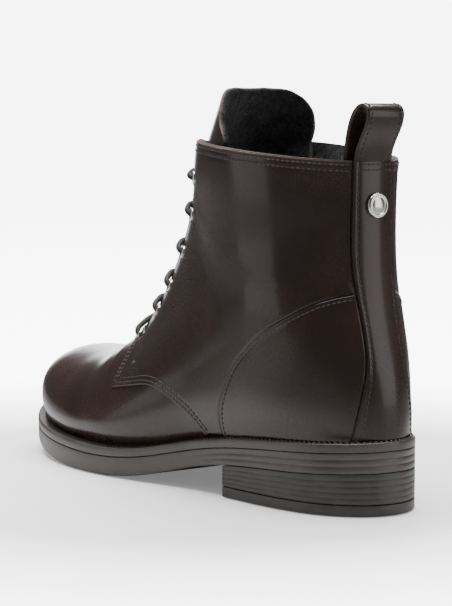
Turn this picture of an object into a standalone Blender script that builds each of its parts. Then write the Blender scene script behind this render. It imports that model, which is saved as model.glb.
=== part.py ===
"""Left lace-up ankle boot with a low stacked heel.

Every leather piece is grown from one last. The last is a fan of cross-sections: each one
is a plane through a point of the feather line (or of the back line) and a point of the
front line, and the upper, the panels, the tongue and the zip are sheets at their own
rise above that surface. The sole pieces are stacks of the welt outline. Lengths are in
millimetres here and become metres when a mesh is made. X runs from heel to toe, Y to the
outer side of the foot, Z up.
"""
import math

import bmesh
import bpy
import numpy as np
from mathutils import Matrix, Vector

MM = 0.001
GAP = 0.3                 # air between neighbouring pieces
SOLE_LENGTH = 260.0
CENTRE = np.array([SOLE_LENGTH / 2, 0.84, 0.0])   # middle of the footprint

WALL = 2.2                # upper with its lining
PANEL = 1.2               # leather of the quarters
SHELL_DROP = 1.7          # the shell lies this far under the face of the quarters
SEAT = 0.5                # from the welt up to the turned-in margin
WELT_THICKNESS = 4.0
MARGIN = 8.0              # upper turned in under the insole
HEEL_BREAST = 76.0        # front face of the heel
LIFT_HEIGHT = 4.7
EYELET_INSET = 11.0       # from the facing edge to the eyelet centre
LACE_RADIUS = 1.3
LACE_REACH = 0.74         # the cords turn short of the eyelet flanges
LOOP_WIDTH = 19.6

# Welt edge: share of the length, outer side, inner side.
OUTLINE = [
    (0.000, 0.0, 0.0), (0.006, 8.3, -8.2), (0.025, 16.3, -16.1), (0.080, 26.5, -26.0),
    (0.160, 31.5, -30.5), (0.260, 33.0, -31.0), (0.380, 34.4, -28.5), (0.500, 40.4, -30.5), (0.600, 45.0, -36.5),
    (0.680, 45.4, -41.5), (0.760, 42.5, -44.0), (0.840, 36.5, -42.5), (0.910, 27.5, -37.0),
    (0.965, 15.5, -27.5), (1.000, -7.0, -7.0),
]
# Along the sole: distance from the heel, underside of the outsole, top of the welt.
PROFILE = [
    (0, 18.0, 31.0), (35, 16.4, 29.1), (76, 13.8, 25.6), (100, 9.6, 21.5), (130, 2.6, 15.2),
    (155, -0.2, 13.0), (178, -0.2, 13.3), (200, 1.2, 14.2), (225, 4.4, 16.1),
    (245, 8.3, 19.0), (260, 11.8, 22.5),
]
# Fan of sections, toe to collar: front line x z, base x z, half-width outer and inner,
# share of the section at its widest, fullness of the front, middle of the front line.
# Rows up to the counter stand on the feather line, so they have no base height.
SECTIONS = [
    ("tip", 254.2, 22.3, 254.2, None, 1.0, 1.0, 0.20, 2.2, -7.0),
    ("toe end", 250.2, 36.0, 251.6, None, 14.2, 14.5, 0.25, 2.3, -7.0),
    ("toe wall", 247.2, 43.2, 244.5, None, 24.4, 25.5, 0.28, 2.4, -7.0),
    ("toe cap", 239.7, 49.2, 231.0, None, 32.2, 33.5, 0.28, 2.4, -7.0),
    ("toe box", 227.5, 51.3, 214.0, None, 38.8, 37.5, 0.28, 2.3, -6.0),
    ("ball", 212.5, 51.5, 194.0, None, 42.0, 39.0, 0.26, 2.2, -5.0),
    ("vamp", 196.2, 54.0, 174.0, None, 42.7, 38.0, 0.26, 2.1, -4.0),
    ("throat", 181.3, 60.2, 154.0, None, 41.3, 35.5, 0.26, 2.0, -3.0),
    ("instep", 166.8, 71.3, 132.0, None, 38.4, 32.5, 0.28, 1.95, -1.5),
    ("bend", 153.2, 86.5, 103.0, None, 35.0, 31.0, 0.32, 1.95, 0.0),
    ("ankle", 142.7, 103.5, 65.0, None, 34.0, 32.3, 0.37, 2.0, 0.0),
    ("seat", 134.9, 119.2, 24.0, None, 34.1, 32.8, 0.42, 2.0, 0.0),
    ("counter", 130.0, 131.5, None, None, 34.3, 33.0, 0.45, 2.0, 0.0),
    ("heel cup", 127.0, 139.9, 4.0, 56.6, 34.4, 33.0, 0.47, 2.0, 0.0),
    ("shank", 124.5, 145.8, 11.3, 86.8, 34.8, 33.4, 0.48, 2.05, 0.0),
    ("cuff", 121.7, 150.8, 14.2, 116.0, 36.1, 34.5, 0.49, 2.1, 0.0),
    ("collar", 118.5, 155.4, 14.4, 146.0, 37.2, 36.5, 0.50, 2.1, 0.0),
]
COUNTER_ROW = 12          # first row that closes at the back of the heel
COLLAR_ROW = len(SECTIONS) - 1
THROAT_ROW = 7.2          # where the facings part
THROAT_HALF, COLLAR_HALF = 8.5, 17.4   # half of the gap between the facings

# Side-view seams, x z.
DERBY_SEAM = [
    (176.0, 76.0), (173.0, 65.0), (166.5, 57.5), (158.0, 48.5), (153.0, 42.4), (150.0, 41.6),
    (141.0, 43.6), (131.0, 44.5), (123.0, 44.0), (116.0, 42.3), (108.0, 38.9), (99.5, 34.1),
    (93.0, 29.2), (87.5, 23.9), (83.0, 17.0),
]
COUNTER_SEAM = [
    (78.6, 17.0), (77.6, 26.5), (75.8, 38.0), (70.6, 51.1), (65.8, 58.6), (59.4, 64.8),
    (46.1, 74.6), (33.5, 81.6), (23.5, 87.4), (14.9, 90.8), (4.0, 93.5), (-12.0, 95.0),
]
ZIP_LINE = [(42.0, 152.0), (44.0, 138.0), (48.5, 116.0), (53.5, 94.0), (58.0, 76.0)]
# Half-width of the back strip: height, half-width.
STRIP = [(28, 16.3), (38, 14.8), (48, 13.0), (61, 10.2), (72, 9.2), (87, 9.6), (101, 10.6),
         (122, 10.6), (150, 10.0)]
EYELET_ROWS = [13.9, 12.0, 10.6, 9.55, 8.75, 8.0]
# Tongue above the throat: row, half-width. Rows past the collar stand above it.
TONGUE = [(6.5, 14.0), (7.4, 22.0), (9.0, 26.0), (13.0, 29.5), (16.0, 32.3), (18.0, 31.4),
          (19.2, 28.8), (20.0, 25.2), (20.6, 19.6), (20.9, 12.0)]
TONGUE_STEP = np.array([-2.6, 0.0, 5.0])


def natural(knots, values):
    """Natural cubic spline through a short table."""
    k = np.asarray(knots, float)
    v = np.asarray(values, float)
    n = len(k)
    h = np.diff(k)
    system = np.eye(n)
    right = np.zeros(n)
    for i in range(1, n - 1):
        system[i, i - 1:i + 2] = h[i - 1], 2 * (h[i - 1] + h[i]), h[i]
        right[i] = 6 * ((v[i + 1] - v[i]) / h[i] - (v[i] - v[i - 1]) / h[i - 1])
    bend = np.linalg.solve(system, right)

    def value(x):
        x = np.asarray(x, float)
        i = np.clip(np.searchsorted(k, x, side="right") - 1, 0, n - 2)
        a = (k[i + 1] - x) / h[i]
        b = (x - k[i]) / h[i]
        curve = ((a ** 3 - a) * bend[i] + (b ** 3 - b) * bend[i + 1]) * h[i] ** 2 / 6
        return a * v[i] + b * v[i + 1] + curve
    return value


def smooth(x):
    x = np.clip(x, 0.0, 1.0)
    return x * x * (3 - 2 * x)


def column(j):
    return natural(range(len(SECTIONS)), [row[j] for row in SECTIONS])


# The welt edge as a closed curve of an angle: 0 at the heel, pi at the toe.
_angles = [math.acos(1 - 2 * s) for s, _, _ in OUTLINE]
_knots = _angles + [2 * math.pi - a for a in _angles[-2:0:-1]]
_edges = [row[1] for row in OUTLINE] + [row[2] for row in OUTLINE[-2:0:-1]]
_turns = [-2 * math.pi, 0.0, 2 * math.pi]
edge_y = natural([k + t for t in _turns for k in _knots], _edges * 3)
welt_top = natural([r[0] for r in PROFILE], [r[2] for r in PROFILE])
_underside = natural([r[0] for r in PROFILE], [r[1] for r in PROFILE])
strip_half = natural([r[0] for r in STRIP], [r[1] for r in STRIP])
tongue_half = natural([r[0] for r in TONGUE], [r[1] for r in TONGUE])


def underside(x):
    """Underside of the outsole, flat where the forefoot stands on the floor."""
    return np.maximum(_underside(x), 0.0)


def outline(a, inset=0.0):
    """Plan points of the welt edge at angles a, moved in by inset."""
    a = np.asarray(a, float)

    def at(b):
        return np.stack([SOLE_LENGTH / 2 * (1 - np.cos(b)), edge_y(np.mod(b, 2 * np.pi))], -1)
    d = at(a + 1e-4) - at(a - 1e-4)
    d /= np.linalg.norm(d, axis=-1, keepdims=True)
    outward = np.stack([-d[..., 1], d[..., 0]], -1)
    return at(a) - outward * np.asarray(inset)[..., None]


def feather_inset(a):
    """Width of the welt ledge: narrow at the heel, wider round the forefoot."""
    return 2.6 + 2.8 * smooth(((1 - np.cos(a)) / 2 - 0.25) / 0.3)


_a = np.linspace(0, 2 * np.pi, 721)
_feather = outline(_a, feather_inset(_a))
_halves = {1: (_a[:361], _feather[:361]), -1: (_a[360:][::-1], _feather[360:][::-1])}
HEEL_X = float(_feather[:, 0].min())
TOE_X = float(_feather[:, 0].max())


def feather_y(x, side):
    """Side of the feather line at a distance from the heel."""
    _, points = _halves[side]
    order = np.argsort(points[:, 0])
    return np.interp(x, points[order, 0], points[order, 1])


def margin_point(x, side):
    """Inner edge of the turned-in upper, beside the feather point at x."""
    angles, points = _halves[side]
    order = np.argsort(points[:, 0])
    a = np.interp(x, points[order, 0], angles[order])
    return outline(a, feather_inset(a) + MARGIN)


front_x, front_z = column(1), column(2)
half_width = {1: column(5), -1: column(6)}
girth, fullness, front_y = column(7), column(8), column(9)
_rows = range(COUNTER_ROW, len(SECTIONS))
base_x = natural(range(COUNTER_ROW + 1), [r[3] for r in SECTIONS[:COUNTER_ROW]] + [HEEL_X])
back_x = natural(_rows, [HEEL_X] + [r[3] for r in SECTIONS[COUNTER_ROW + 1:]])
back_z = natural(_rows, [float(welt_top(0.0)) + SEAT] + [r[4] for r in SECTIONS[COUNTER_ROW + 1:]])


def heel_bend(row):
    """Bend of a section above its foot: lower round the heel, so it runs smoothly into the back."""
    return 2 - 0.7 * smooth((row - 8) / 3.5)


def section_point(row, phi, side):
    """Point of a section: phi 0 at the feather or back line, 1 at the widest, 2 in front."""
    row, phi = np.broadcast_arrays(np.asarray(row, float), np.asarray(phi, float))
    stands = row <= COUNTER_ROW
    low = np.minimum(row, COUNTER_ROW)
    high = np.maximum(row, COUNTER_ROW)
    bx = np.where(stands, np.clip(base_x(low), HEEL_X, TOE_X), back_x(high))
    bz = np.where(stands, welt_top(bx) + SEAT, back_z(high))
    outer = np.where(stands, feather_y(bx, 1), 0.0)
    inner = np.where(stands, feather_y(bx, -1), 0.0)
    middle = (outer + inner) / 2
    foot = (outer - inner) / 2
    wide = np.maximum(half_width[side](row), 1e-3)
    share = np.where(phi < 1, np.sin((1 - phi) * np.pi / 2), np.sin((phi - 1) * np.pi / 2))
    along = np.where(phi < 1, girth(row) * (1 - share), girth(row) + (1 - girth(row)) * share)
    rear = np.sqrt(np.maximum(1 - share ** 2 + (foot / wide) ** 2 * share ** heel_bend(row), 0))
    front = np.sqrt(np.maximum(1 - np.abs(share) ** fullness(row), 0))
    y = middle + (front_y(row) - middle) * along + side * wide * np.where(phi < 1, rear, front)
    return np.stack([bx + (front_x(row) - bx) * along, y, bz + (front_z(row) - bz) * along], -1)


def last_point(row, phi, side):
    """Point of the last: the sections, averaged along the rows round the counter."""
    row, phi = np.broadcast_arrays(np.asarray(row, float), np.asarray(phi, float))
    reach = 0.9 * smooth(phi / 0.35) * smooth(1 - np.abs(row - COUNTER_ROW) / 3)
    taps = np.linspace(-0.9, 0.9, 11)
    weights = (1 - taps ** 2) ** 2
    return sum(w * section_point(row + reach * t, phi, side) for w, t in zip(weights, taps)) / weights.sum()


def skin(row, phi, side, rise):
    """Point at a rise above the last, and the outward direction there."""
    row, phi = np.broadcast_arrays(np.asarray(row, float), np.asarray(phi, float))
    step = 0.02
    r0, r1 = np.clip(row - step, 0, COLLAR_ROW), np.clip(row + step, 0, COLLAR_ROW)
    p0, p1 = np.clip(phi - step, 0, 2), np.clip(phi + step, 0, 2)
    across = last_point(row, p1, side) - last_point(row, p0, side)
    along = last_point(r1, phi, side) - last_point(r0, phi, side)
    normal = np.cross(along, across) * side
    normal /= np.maximum(np.linalg.norm(normal, axis=-1, keepdims=True), 1e-9)
    return last_point(row, phi, side) + normal * np.asarray(rise)[..., None], normal


def phi_at_half(row, half, side):
    """Where the front of a section is this far from its middle."""
    share = np.clip(1 - (half / half_width[side](row)) ** 2, 0, 1) ** (1 / fullness(row))
    return 1 + np.arcsin(np.clip(share, 0, 1)) * 2 / np.pi


def facing_phi(row, side):
    """Edge of the facing, or the front line below the throat."""
    row = np.asarray(row, float)
    half = THROAT_HALF + (COLLAR_HALF - THROAT_HALF) * np.clip(
        (row - THROAT_ROW) / (COLLAR_ROW - THROAT_ROW), 0, 1)
    opening = np.sqrt(np.clip((row - THROAT_ROW) / 0.3, 0, 1))
    return phi_at_half(row, half * opening, side)


def eyelet_phi(row, side):
    """Eyelet centre: a set distance back from the facing edge along the section."""
    phi = facing_phi(row, side)
    reach = 0.0
    while reach < EYELET_INSET:
        reach += float(np.linalg.norm(last_point(row, phi, side) - last_point(row, phi - 0.004, side)))
        phi = phi - 0.004
    return phi


def locate(x, z, side):
    """Row and phi of the point that has this x and z in side view."""
    place = np.array([14.5, 0.9])
    for _ in range(40):
        here = last_point(place[0], place[1], side)[[0, 2]]
        by_row = (last_point(place[0] + 1e-3, place[1], side)[[0, 2]] - here) / 1e-3
        by_phi = (last_point(place[0], place[1] + 1e-3, side)[[0, 2]] - here) / 1e-3
        move = np.linalg.solve(np.stack([by_row, by_phi], 1), np.array([x, z]) - here)
        place = np.clip(place + np.clip(move, -0.4, 0.4), (8.0, 0.02), (COLLAR_ROW, 1.95))
    return place


for leftover in list(bpy.data.objects):
    bpy.data.objects.remove(leftover)
parts = bpy.data.collections.new("leather_boot")
cutters = bpy.data.collections.new("cutters")
for group in (parts, cutters):
    bpy.context.scene.collection.children.link(group)


def material(name, colour, roughness, metallic=0.0):
    made = bpy.data.materials.new(name)
    made.use_nodes = True
    shader = made.node_tree.nodes["Principled BSDF"]
    shader.inputs["Base Color"].default_value = (*colour, 1.0)
    shader.inputs["Roughness"].default_value = roughness
    shader.inputs["Metallic"].default_value = metallic
    return made


BROWN = (0.035, 0.022, 0.018)


def leather(name):
    return material(name, BROWN, 0.35)


def add(name, points, faces, shade=None, closed=True):
    """New mesh object from millimetre points, seams welded, a closed body turned outward."""
    mesh = bpy.data.meshes.new(name)
    mesh.from_pydata([Vector((p - CENTRE) * MM) for p in np.asarray(points, float)], [], faces)
    work = bmesh.new()
    work.from_mesh(mesh)
    bmesh.ops.remove_doubles(work, verts=work.verts, dist=0.00002)
    bmesh.ops.dissolve_degenerate(work, edges=work.edges, dist=0.00001)
    if closed:
        bmesh.ops.recalc_face_normals(work, faces=work.faces)
    work.to_mesh(mesh)
    work.free()
    made = bpy.data.objects.new(name, mesh)
    if shade:
        mesh.materials.append(shade)
        parts.objects.link(made)
    else:
        cutters.objects.link(made)
        made.hide_render = True
        made.display_type = "WIRE"
    return made


def solidify(piece, thickness):
    shell = piece.modifiers.new("thickness", "SOLIDIFY")
    shell.thickness = thickness * MM
    shell.offset = -1.0
    shell.use_even_offset = True
    shell.use_quality_normals = True


def boolean(piece, other, how):
    cut = piece.modifiers.new(f"{how.lower()} {other.name}", "BOOLEAN")
    cut.operation = how
    cut.solver = "EXACT"
    cut.object = other


def quad(corner, columns, side):
    """One face of a grid of rows by columns, facing out of this side of the last."""
    face = (corner, corner + 1, corner + columns + 1, corner + columns)
    return face if side < 0 else face[::-1]


def plate(name, angles, layers, shade):
    """Stack of outline loops: each layer is an inset and a height as functions."""
    n = len(angles)
    points = []
    for inset, height in layers:
        loop = outline(angles, inset(angles) if callable(inset) else np.full(n, inset))
        points.extend(np.column_stack([loop, height(loop[:, 0])]))
    faces = []
    for k in range(len(layers) - 1):
        for i in range(n):
            j = (i + 1) % n
            faces.append((k * n + i, k * n + j, (k + 1) * n + j, (k + 1) * n + i))
    last = (len(layers) - 1) * n
    for i in range(n // 2 - 1):
        faces.append((i, i + 1, n - 2 - i, n - 1 - i))
        faces.append((last + i, last + i + 1, last + n - 2 - i, last + n - 1 - i))
    return add(name, points, faces, shade)


def prism(name, polygon, axis, start, stop):
    """Cutter: a side-view or back-view polygon pushed along Y or X."""
    points = []
    for depth in (start, stop):
        for u, v in polygon:
            points.append((u, depth, v) if axis == "Y" else (depth, u, v))
    n = len(polygon)
    faces = [tuple(range(n)), tuple(range(n, 2 * n))]
    faces += [(i, (i + 1) % n, n + (i + 1) % n, n + i) for i in range(n)]
    return add(name, points, faces)


def ribbon(line, half):
    """Polygon of a line in side view with a width."""
    points = np.array(line, float)
    run = np.gradient(points, axis=0)
    run /= np.linalg.norm(run, axis=1, keepdims=True)
    aside = np.stack([-run[:, 1], run[:, 0]], 1) * half
    return [tuple(p) for p in np.vstack([points + aside, (points - aside)[::-1]])]


def shifted(line, distance):
    """A seam moved sideways, to leave the gap between two panels."""
    return ribbon(line, distance)[:len(line)]


def placed(point, normal, toward=(0.0, 0.0, 1.0)):
    """Matrix at a millimetre point: Z along the normal, Y as near as it can to toward."""
    z = Vector(normal).normalized()
    x = Vector(toward).cross(z).normalized()
    frame = Matrix((x, z.cross(x), z)).transposed().to_4x4()
    frame.translation = Vector((np.asarray(point) - CENTRE) * MM)
    return frame


def lathe(name, profile, steps, shade, closed):
    """Solid of revolution about its own Z from a profile of radius and height."""
    mesh = bpy.data.meshes.new(name)
    edges = [(i, i + 1) for i in range(len(profile) - 1)]
    if closed:
        edges.append((len(profile) - 1, 0))
    mesh.from_pydata([(r * MM, 0.0, z * MM) for r, z in profile], edges, [])
    mesh.materials.append(shade)
    made = bpy.data.objects.new(name, mesh)
    parts.objects.link(made)
    screw = made.modifiers.new("turn", "SCREW")
    screw.axis = "Z"
    screw.steps = screw.render_steps = steps
    screw.use_merge_vertices = True
    screw.merge_threshold = 0.00001
    screw.use_normal_flip = True
    return made


NICKEL = ((0.72, 0.71, 0.69), 0.18, 1.0)

# Sole. Heel lift, heel, outsole, welt and insole are stacks of the same outline.
turn = (np.arange(76) + 0.5) * 2 * np.pi / 76
breast_angle = math.acos(1 - 2 * HEEL_BREAST / SOLE_LENGTH)
heel_turn = np.linspace(-breast_angle, breast_angle, 40)
dark_rubber = ((0.030, 0.024, 0.022), 0.45)

plate("heel_top_lift", heel_turn, [
    (0.5, lambda x: 0 * x),
    (0.1, lambda x: 0 * x + 0.6),
    (0.1, lambda x: 0 * x + LIFT_HEIGHT),
], material("lift_rubber", *dark_rubber))
plate("heel_block", heel_turn, [
    (0.3, lambda x: 0 * x + LIFT_HEIGHT + GAP),
    (0.2, lambda x: underside(x) - GAP),
], material("heel_stack", *dark_rubber))
plate("outsole", turn, [
    (1.2, underside),
    (0.4, lambda x: underside(x) + 1.0),
    (0.4, lambda x: welt_top(x) - WELT_THICKNESS - GAP),
], material("outsole_rubber", *dark_rubber))
plate("welt", turn, [
    (0.5, lambda x: welt_top(x) - WELT_THICKNESS),
    (0.0, lambda x: welt_top(x) - WELT_THICKNESS + 0.8),
    (0.0, lambda x: welt_top(x) - 0.8),
    (0.6, lambda x: welt_top(x)),
], material("welt_rubber", *dark_rubber))
plate("insole", turn, [
    (lambda a: feather_inset(a) + MARGIN + 2.5, lambda x: welt_top(x) + GAP),
    (lambda a: feather_inset(a) + MARGIN + 2.5, lambda x: welt_top(x) + SEAT + WALL + 0.6),
    (lambda a: feather_inset(a) + WALL + 4.0, lambda x: welt_top(x) + SEAT + WALL + 0.8),
    (lambda a: feather_inset(a) + WALL + 4.0, lambda x: welt_top(x) + SEAT + WALL + 2.4),
], material("insole_lining", (0.02, 0.018, 0.017), 0.8))

# Upper: one shell open at the collar, the throat and underneath.
UPPER_ROWS = np.concatenate([
    [0.0, 0.22, 0.55, 1.0, 1.5, 2.0, 2.6, 3.3, 4.0, 4.6, 5.2, 5.8, 6.5],
    [THROAT_ROW, 7.3, 7.5], np.arange(8.0, 11.1, 0.5), [11.35, 11.6, 11.78, 11.9, 12.0],
    [12.5, 13.0, 13.6, 14.2, 14.8, 15.4, 16.0]])
REAR = np.array([0.0, 0.26, 0.52, 0.77, 1.0])
FRONT = np.linspace(0, 1, 8)[1:]


def upper_rise(row):
    """The shell drops under the panels so that their faces carry the shape."""
    return -SHELL_DROP * smooth((row - 4.8) / 1.7)


def upper_row(row, side):
    phi = np.concatenate([REAR, 1 + FRONT * (float(facing_phi(row, side)) - 1)])
    points, _ = skin(row, phi, side, np.full(len(phi), upper_rise(row)))
    if row <= COUNTER_ROW:
        points[0, 2] = welt_top(points[0, 0]) + SEAT
        x = float(np.clip(base_x(row), HEEL_X, TOE_X))
        inside = margin_point(x, side)
        points = np.vstack([[*inside, float(welt_top(inside[0])) + SEAT], points])
    else:
        points = np.vstack([points[:1], points])
    return points


def upper_sheet():
    """Both sides of the shell, sharing the front line below the throat and the back line."""
    outer = [upper_row(row, 1) for row in UPPER_ROWS]
    inner = [upper_row(row, -1) for row in UPPER_ROWS]
    for i, row in enumerate(UPPER_ROWS):
        if row <= THROAT_ROW:
            outer[i][-1] = inner[i][-1] = (outer[i][-1] + inner[i][-1]) / 2
        if row >= COUNTER_ROW:
            middle = (outer[i][:2] + inner[i][:2]) / 2 * (1, 0, 1)
            outer[i][:2] = inner[i][:2] = middle
    tip = np.array([TOE_X, front_y(0.0), welt_top(TOE_X) + SEAT])
    heel_margin = np.array([HEEL_X + MARGIN, 0.0, welt_top(HEEL_X + MARGIN) + SEAT])
    turned = np.array([TOE_X - MARGIN, front_y(0.0), welt_top(TOE_X - MARGIN) + SEAT])
    corner = int(np.argmin(np.abs(UPPER_ROWS - COUNTER_ROW)))
    for half in (outer, inner):
        half[0][:] = tip
        half[0][0] = turned
        half[corner][0] = heel_margin
    columns = len(outer[0])
    points = np.vstack(outer + inner)
    count = len(UPPER_ROWS)
    faces = []
    for start, side in ((0, 1), (count * columns, -1)):
        for i in range(count - 1):
            for j in range(1 if i >= corner else 0, columns - 1):
                faces.append(quad(start + i * columns + j, columns, side))
    return points, faces


upper = add("upper", *upper_sheet(), leather("upper_leather"), closed=False)
solidify(upper, WALL)


PANEL_TOP = 0.1

# Eyelets: a flange on the facing and a barrel through its hole.
EYELET_PROFILE = [(1.5, -3.0), (1.9, -3.0), (1.9, 0.0), (3.2, 0.0), (2.6, 0.8), (1.5, 0.6)]
eyelet_nickel = material("eyelet_nickel", *NICKEL)
holes = []
for side, word in ((1, "lateral"), (-1, "medial")):
    for number, row in enumerate(EYELET_ROWS, 1):
        point, normal = skin(row, eyelet_phi(row, side), side, PANEL_TOP + GAP)
        seat = placed(point, normal)
        eyelet = lathe(f"eyelet_{word}_{number}", EYELET_PROFILE, 12, eyelet_nickel, closed=True)
        eyelet.matrix_world = seat
        holes.append(seat)

punch_mesh = bpy.data.meshes.new("eyelet_punch")
work = bmesh.new()
for seat in holes:
    bmesh.ops.create_cone(work, cap_ends=True, segments=10, radius1=2.3 * MM, radius2=2.3 * MM,
                          depth=14 * MM, matrix=seat)
work.to_mesh(punch_mesh)
work.free()
punch = bpy.data.objects.new("eyelet_punch", punch_mesh)
cutters.objects.link(punch)
punch.hide_render = True
punch.display_type = "WIRE"
slot = prism("zip_slot", ribbon(ZIP_LINE, 4.6), "Y", -90.0, -1.5)
boolean(upper, punch, "DIFFERENCE")
boolean(upper, slot, "DIFFERENCE")


def sheet(name, side, rows, phis, rise, thickness, shade):
    """Patch of the last at a rise, with a thickness inward."""
    grid = []
    for row in rows:
        phi = phis(row, side)
        grid.append(skin(row, phi, side, np.full(len(phi), rise))[0])
    columns = len(grid[0])
    faces = [quad(i * columns + j, columns, side)
             for i in range(len(rows) - 1) for j in range(columns - 1)]
    made = add(name, np.vstack(grid), faces, shade, closed=False)
    solidify(made, thickness)
    return made


def side_phis(row, side):
    """From just above the feather to the facing edge, kept off the front line."""
    end = min(float(facing_phi(row, side)), 1.93)
    return np.concatenate([[0.1], REAR[1:], 1 + FRONT * (end - 1)])


def back_polygon(extra):
    heights = np.linspace(21.0, 153.0, 21)
    right = [(float(strip_half(z)) + extra, float(z)) for z in heights]
    return right + [(-y, z) for y, z in reversed(right)]


panel_rows = [row for row in UPPER_ROWS if row >= 5.5]
derby = DERBY_SEAM + [(-30.0, 17.0), (-30.0, 175.0), (176.0, 175.0)]
counter_inside = COUNTER_SEAM + [(-12.0, 17.0)]
counter_clear = shifted(COUNTER_SEAM, -GAP) + [(-12.0, 17.0)]
strip_clear = prism("strip_clear", back_polygon(GAP), "X", -20.0, 34.0)
strip_inside = prism("strip_inside", back_polygon(0.0), "X", -20.0, 34.0)

for side, word in ((1, "lateral"), (-1, "medial")):
    near, far = (1.5, 90.0) if side > 0 else (-90.0, -1.5)
    derby_form = prism(f"derby_{word}", derby, "Y", near, far)
    heel_form = prism(f"heel_{word}", counter_inside, "Y", near, far)
    heel_clear = prism(f"heel_clear_{word}", counter_clear, "Y", near, far)
    quarter = sheet(f"quarter_{word}", side, panel_rows, side_phis, PANEL_TOP, PANEL,
                    leather(f"quarter_{word}_leather"))
    boolean(quarter, strip_clear, "DIFFERENCE")
    boolean(quarter, punch, "DIFFERENCE")
    if side < 0:
        boolean(quarter, slot, "DIFFERENCE")
    boolean(quarter, derby_form, "INTERSECT")
    boolean(quarter, heel_clear, "DIFFERENCE")
    low = [row for row in panel_rows if 9.0 <= row <= 14.6]
    counter = sheet(f"counter_{word}", side, low, side_phis, PANEL_TOP + 0.4, PANEL + 0.4,
                    leather(f"counter_{word}_leather"))
    boolean(counter, strip_clear, "DIFFERENCE")
    boolean(counter, heel_form, "INTERSECT")


# Back strip, pull loop and stud.
STRIP_TOP = PANEL_TOP + 0.8
STRIP_PHIS = np.linspace(0.0, 0.55, 6)


def strip_half_row(row, side):
    """Half a row of the strip; below the counter row it starts beside the feather line."""
    phi = STRIP_PHIS if row >= COUNTER_ROW else STRIP_PHIS * 0.5 + 0.1
    points, _ = skin(row, phi, side, np.full(len(phi), STRIP_TOP))
    if row >= COUNTER_ROW:
        points[0, 1] = 0.0
    return points


strip_rows = [row for row in UPPER_ROWS if row >= 11.3]
columns = len(STRIP_PHIS)
points, faces = [], []
for side in (1, -1):
    start = len(points)
    for i, row in enumerate(strip_rows):
        points.extend(strip_half_row(row, side))
        if i:
            faces.extend(quad(start + (i - 1) * columns + j, columns, side) for j in range(columns - 1))
back_strip = add("back_strip", points, faces, leather("strip_leather"), closed=False)
solidify(back_strip, PANEL + 0.8)
boolean(back_strip, strip_inside, "INTERSECT")

# The strip goes on above the collar as a pull loop and comes down inside it.
# Loop path: x, z, depth of the curve across the width.
LOOP = [(14.6, 146.8, 2.0), (13.2, 151.5, 1.5), (10.8, 157.0, 0.8), (8.4, 162.0, 0.5),
        (7.9, 166.2, 0.4), (10.2, 168.7, 0.4), (14.0, 168.4, 0.4), (17.5, 165.0, 0.5),
        (19.5, 160.0, 0.8), (20.5, 154.0, 1.4), (20.7, 147.5, 2.0), (20.7, 140.0, 2.2),
        (20.7, 131.0, 2.2)]
LOOP_THICKNESS = 1.8
steps = np.linspace(0, len(LOOP) - 1, 26)
path = [natural(range(len(LOOP)), [row[j] for row in LOOP])(steps) for j in range(3)]
across = np.linspace(-1, 1, 5)
points = [(x + sag * v * v, v * LOOP_WIDTH / 2, z) for x, z, sag in zip(*path) for v in across]
faces = [quad(i * 5 + j, 5, -1) for i in range(len(steps) - 1) for j in range(4)]
pull_loop = add("pull_loop", points, faces, leather("loop_leather"), closed=False)
solidify(pull_loop, LOOP_THICKNESS)
pull_loop.modifiers["thickness"].offset = 0.0


STUD_PROFILE = [(0.0, 0.0), (5.0, 0.0), (5.3, 0.4), (5.3, 1.2), (4.7, 1.9), (3.9, 1.9),
                (3.7, 1.6), (1.8, 1.9), (0.0, 2.0)]
point, normal = skin(15.4, 0.0, 1, STRIP_TOP + GAP)
stud = lathe("back_stud", STUD_PROFILE, 24, material("stud_nickel", *NICKEL), closed=False)
stud.matrix_world = placed(point, normal)

# Tongue: the last again, under the facings and on above the collar.
TONGUE_RISE = -4.6
tongue_rows = [6.5, 7.2, 8.0, 8.7, 9.4, 10.2, 11.0, 12.0, 13.3, 14.7, 16.0, 18.0, 19.4, 20.2, 20.7, 20.9]
tongue_share = np.linspace(0, 1, 6)[1:]
points = []
for row in tongue_rows:
    on_last = min(row, COLLAR_ROW)
    half = float(tongue_half(row))
    lift = TONGUE_STEP * max(row - COLLAR_ROW, 0.0)
    strip = []
    for side in (1, -1):
        phi = 2 - (2 - float(phi_at_half(on_last, half, side))) * tongue_share
        strip.append(skin(on_last, phi, side, np.full(len(phi), TONGUE_RISE))[0])
    middle = (skin(on_last, 2.0, 1, TONGUE_RISE)[0] + skin(on_last, 2.0, -1, TONGUE_RISE)[0]) / 2
    points.extend(np.vstack([strip[0][::-1], middle, strip[1]]) + lift)
columns = 2 * len(tongue_share) + 1
faces = [quad(i * columns + j, columns, 1)
         for i in range(len(tongue_rows) - 1) for j in range(columns - 1)]
tongue = add("tongue", points, faces, leather("tongue_leather"), closed=False)
solidify(tongue, 2.4)


# Laces: two cords that cross over the tongue from eyelet to eyelet, joined where they meet.
def lace_points(first_side):
    """Over the facings beside the eyelets, lower in the gap between them."""
    rows = natural(range(len(EYELET_ROWS)), EYELET_ROWS[::-1])
    made = []
    for step in np.linspace(0, len(EYELET_ROWS) - 1, 46):
        swing = math.cos(math.pi * step) * first_side
        side = 1 if swing >= 0 else -1
        row = float(rows(step))
        reach = LACE_REACH * (2 - eyelet_phi(row, side))
        rise = -1.0 + 2.9 * smooth(abs(swing) * reach / (2 - float(facing_phi(row, side))) / 0.95)
        made.append(skin(row, 2 - abs(swing) * reach, side, rise)[0])
    return made


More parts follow.
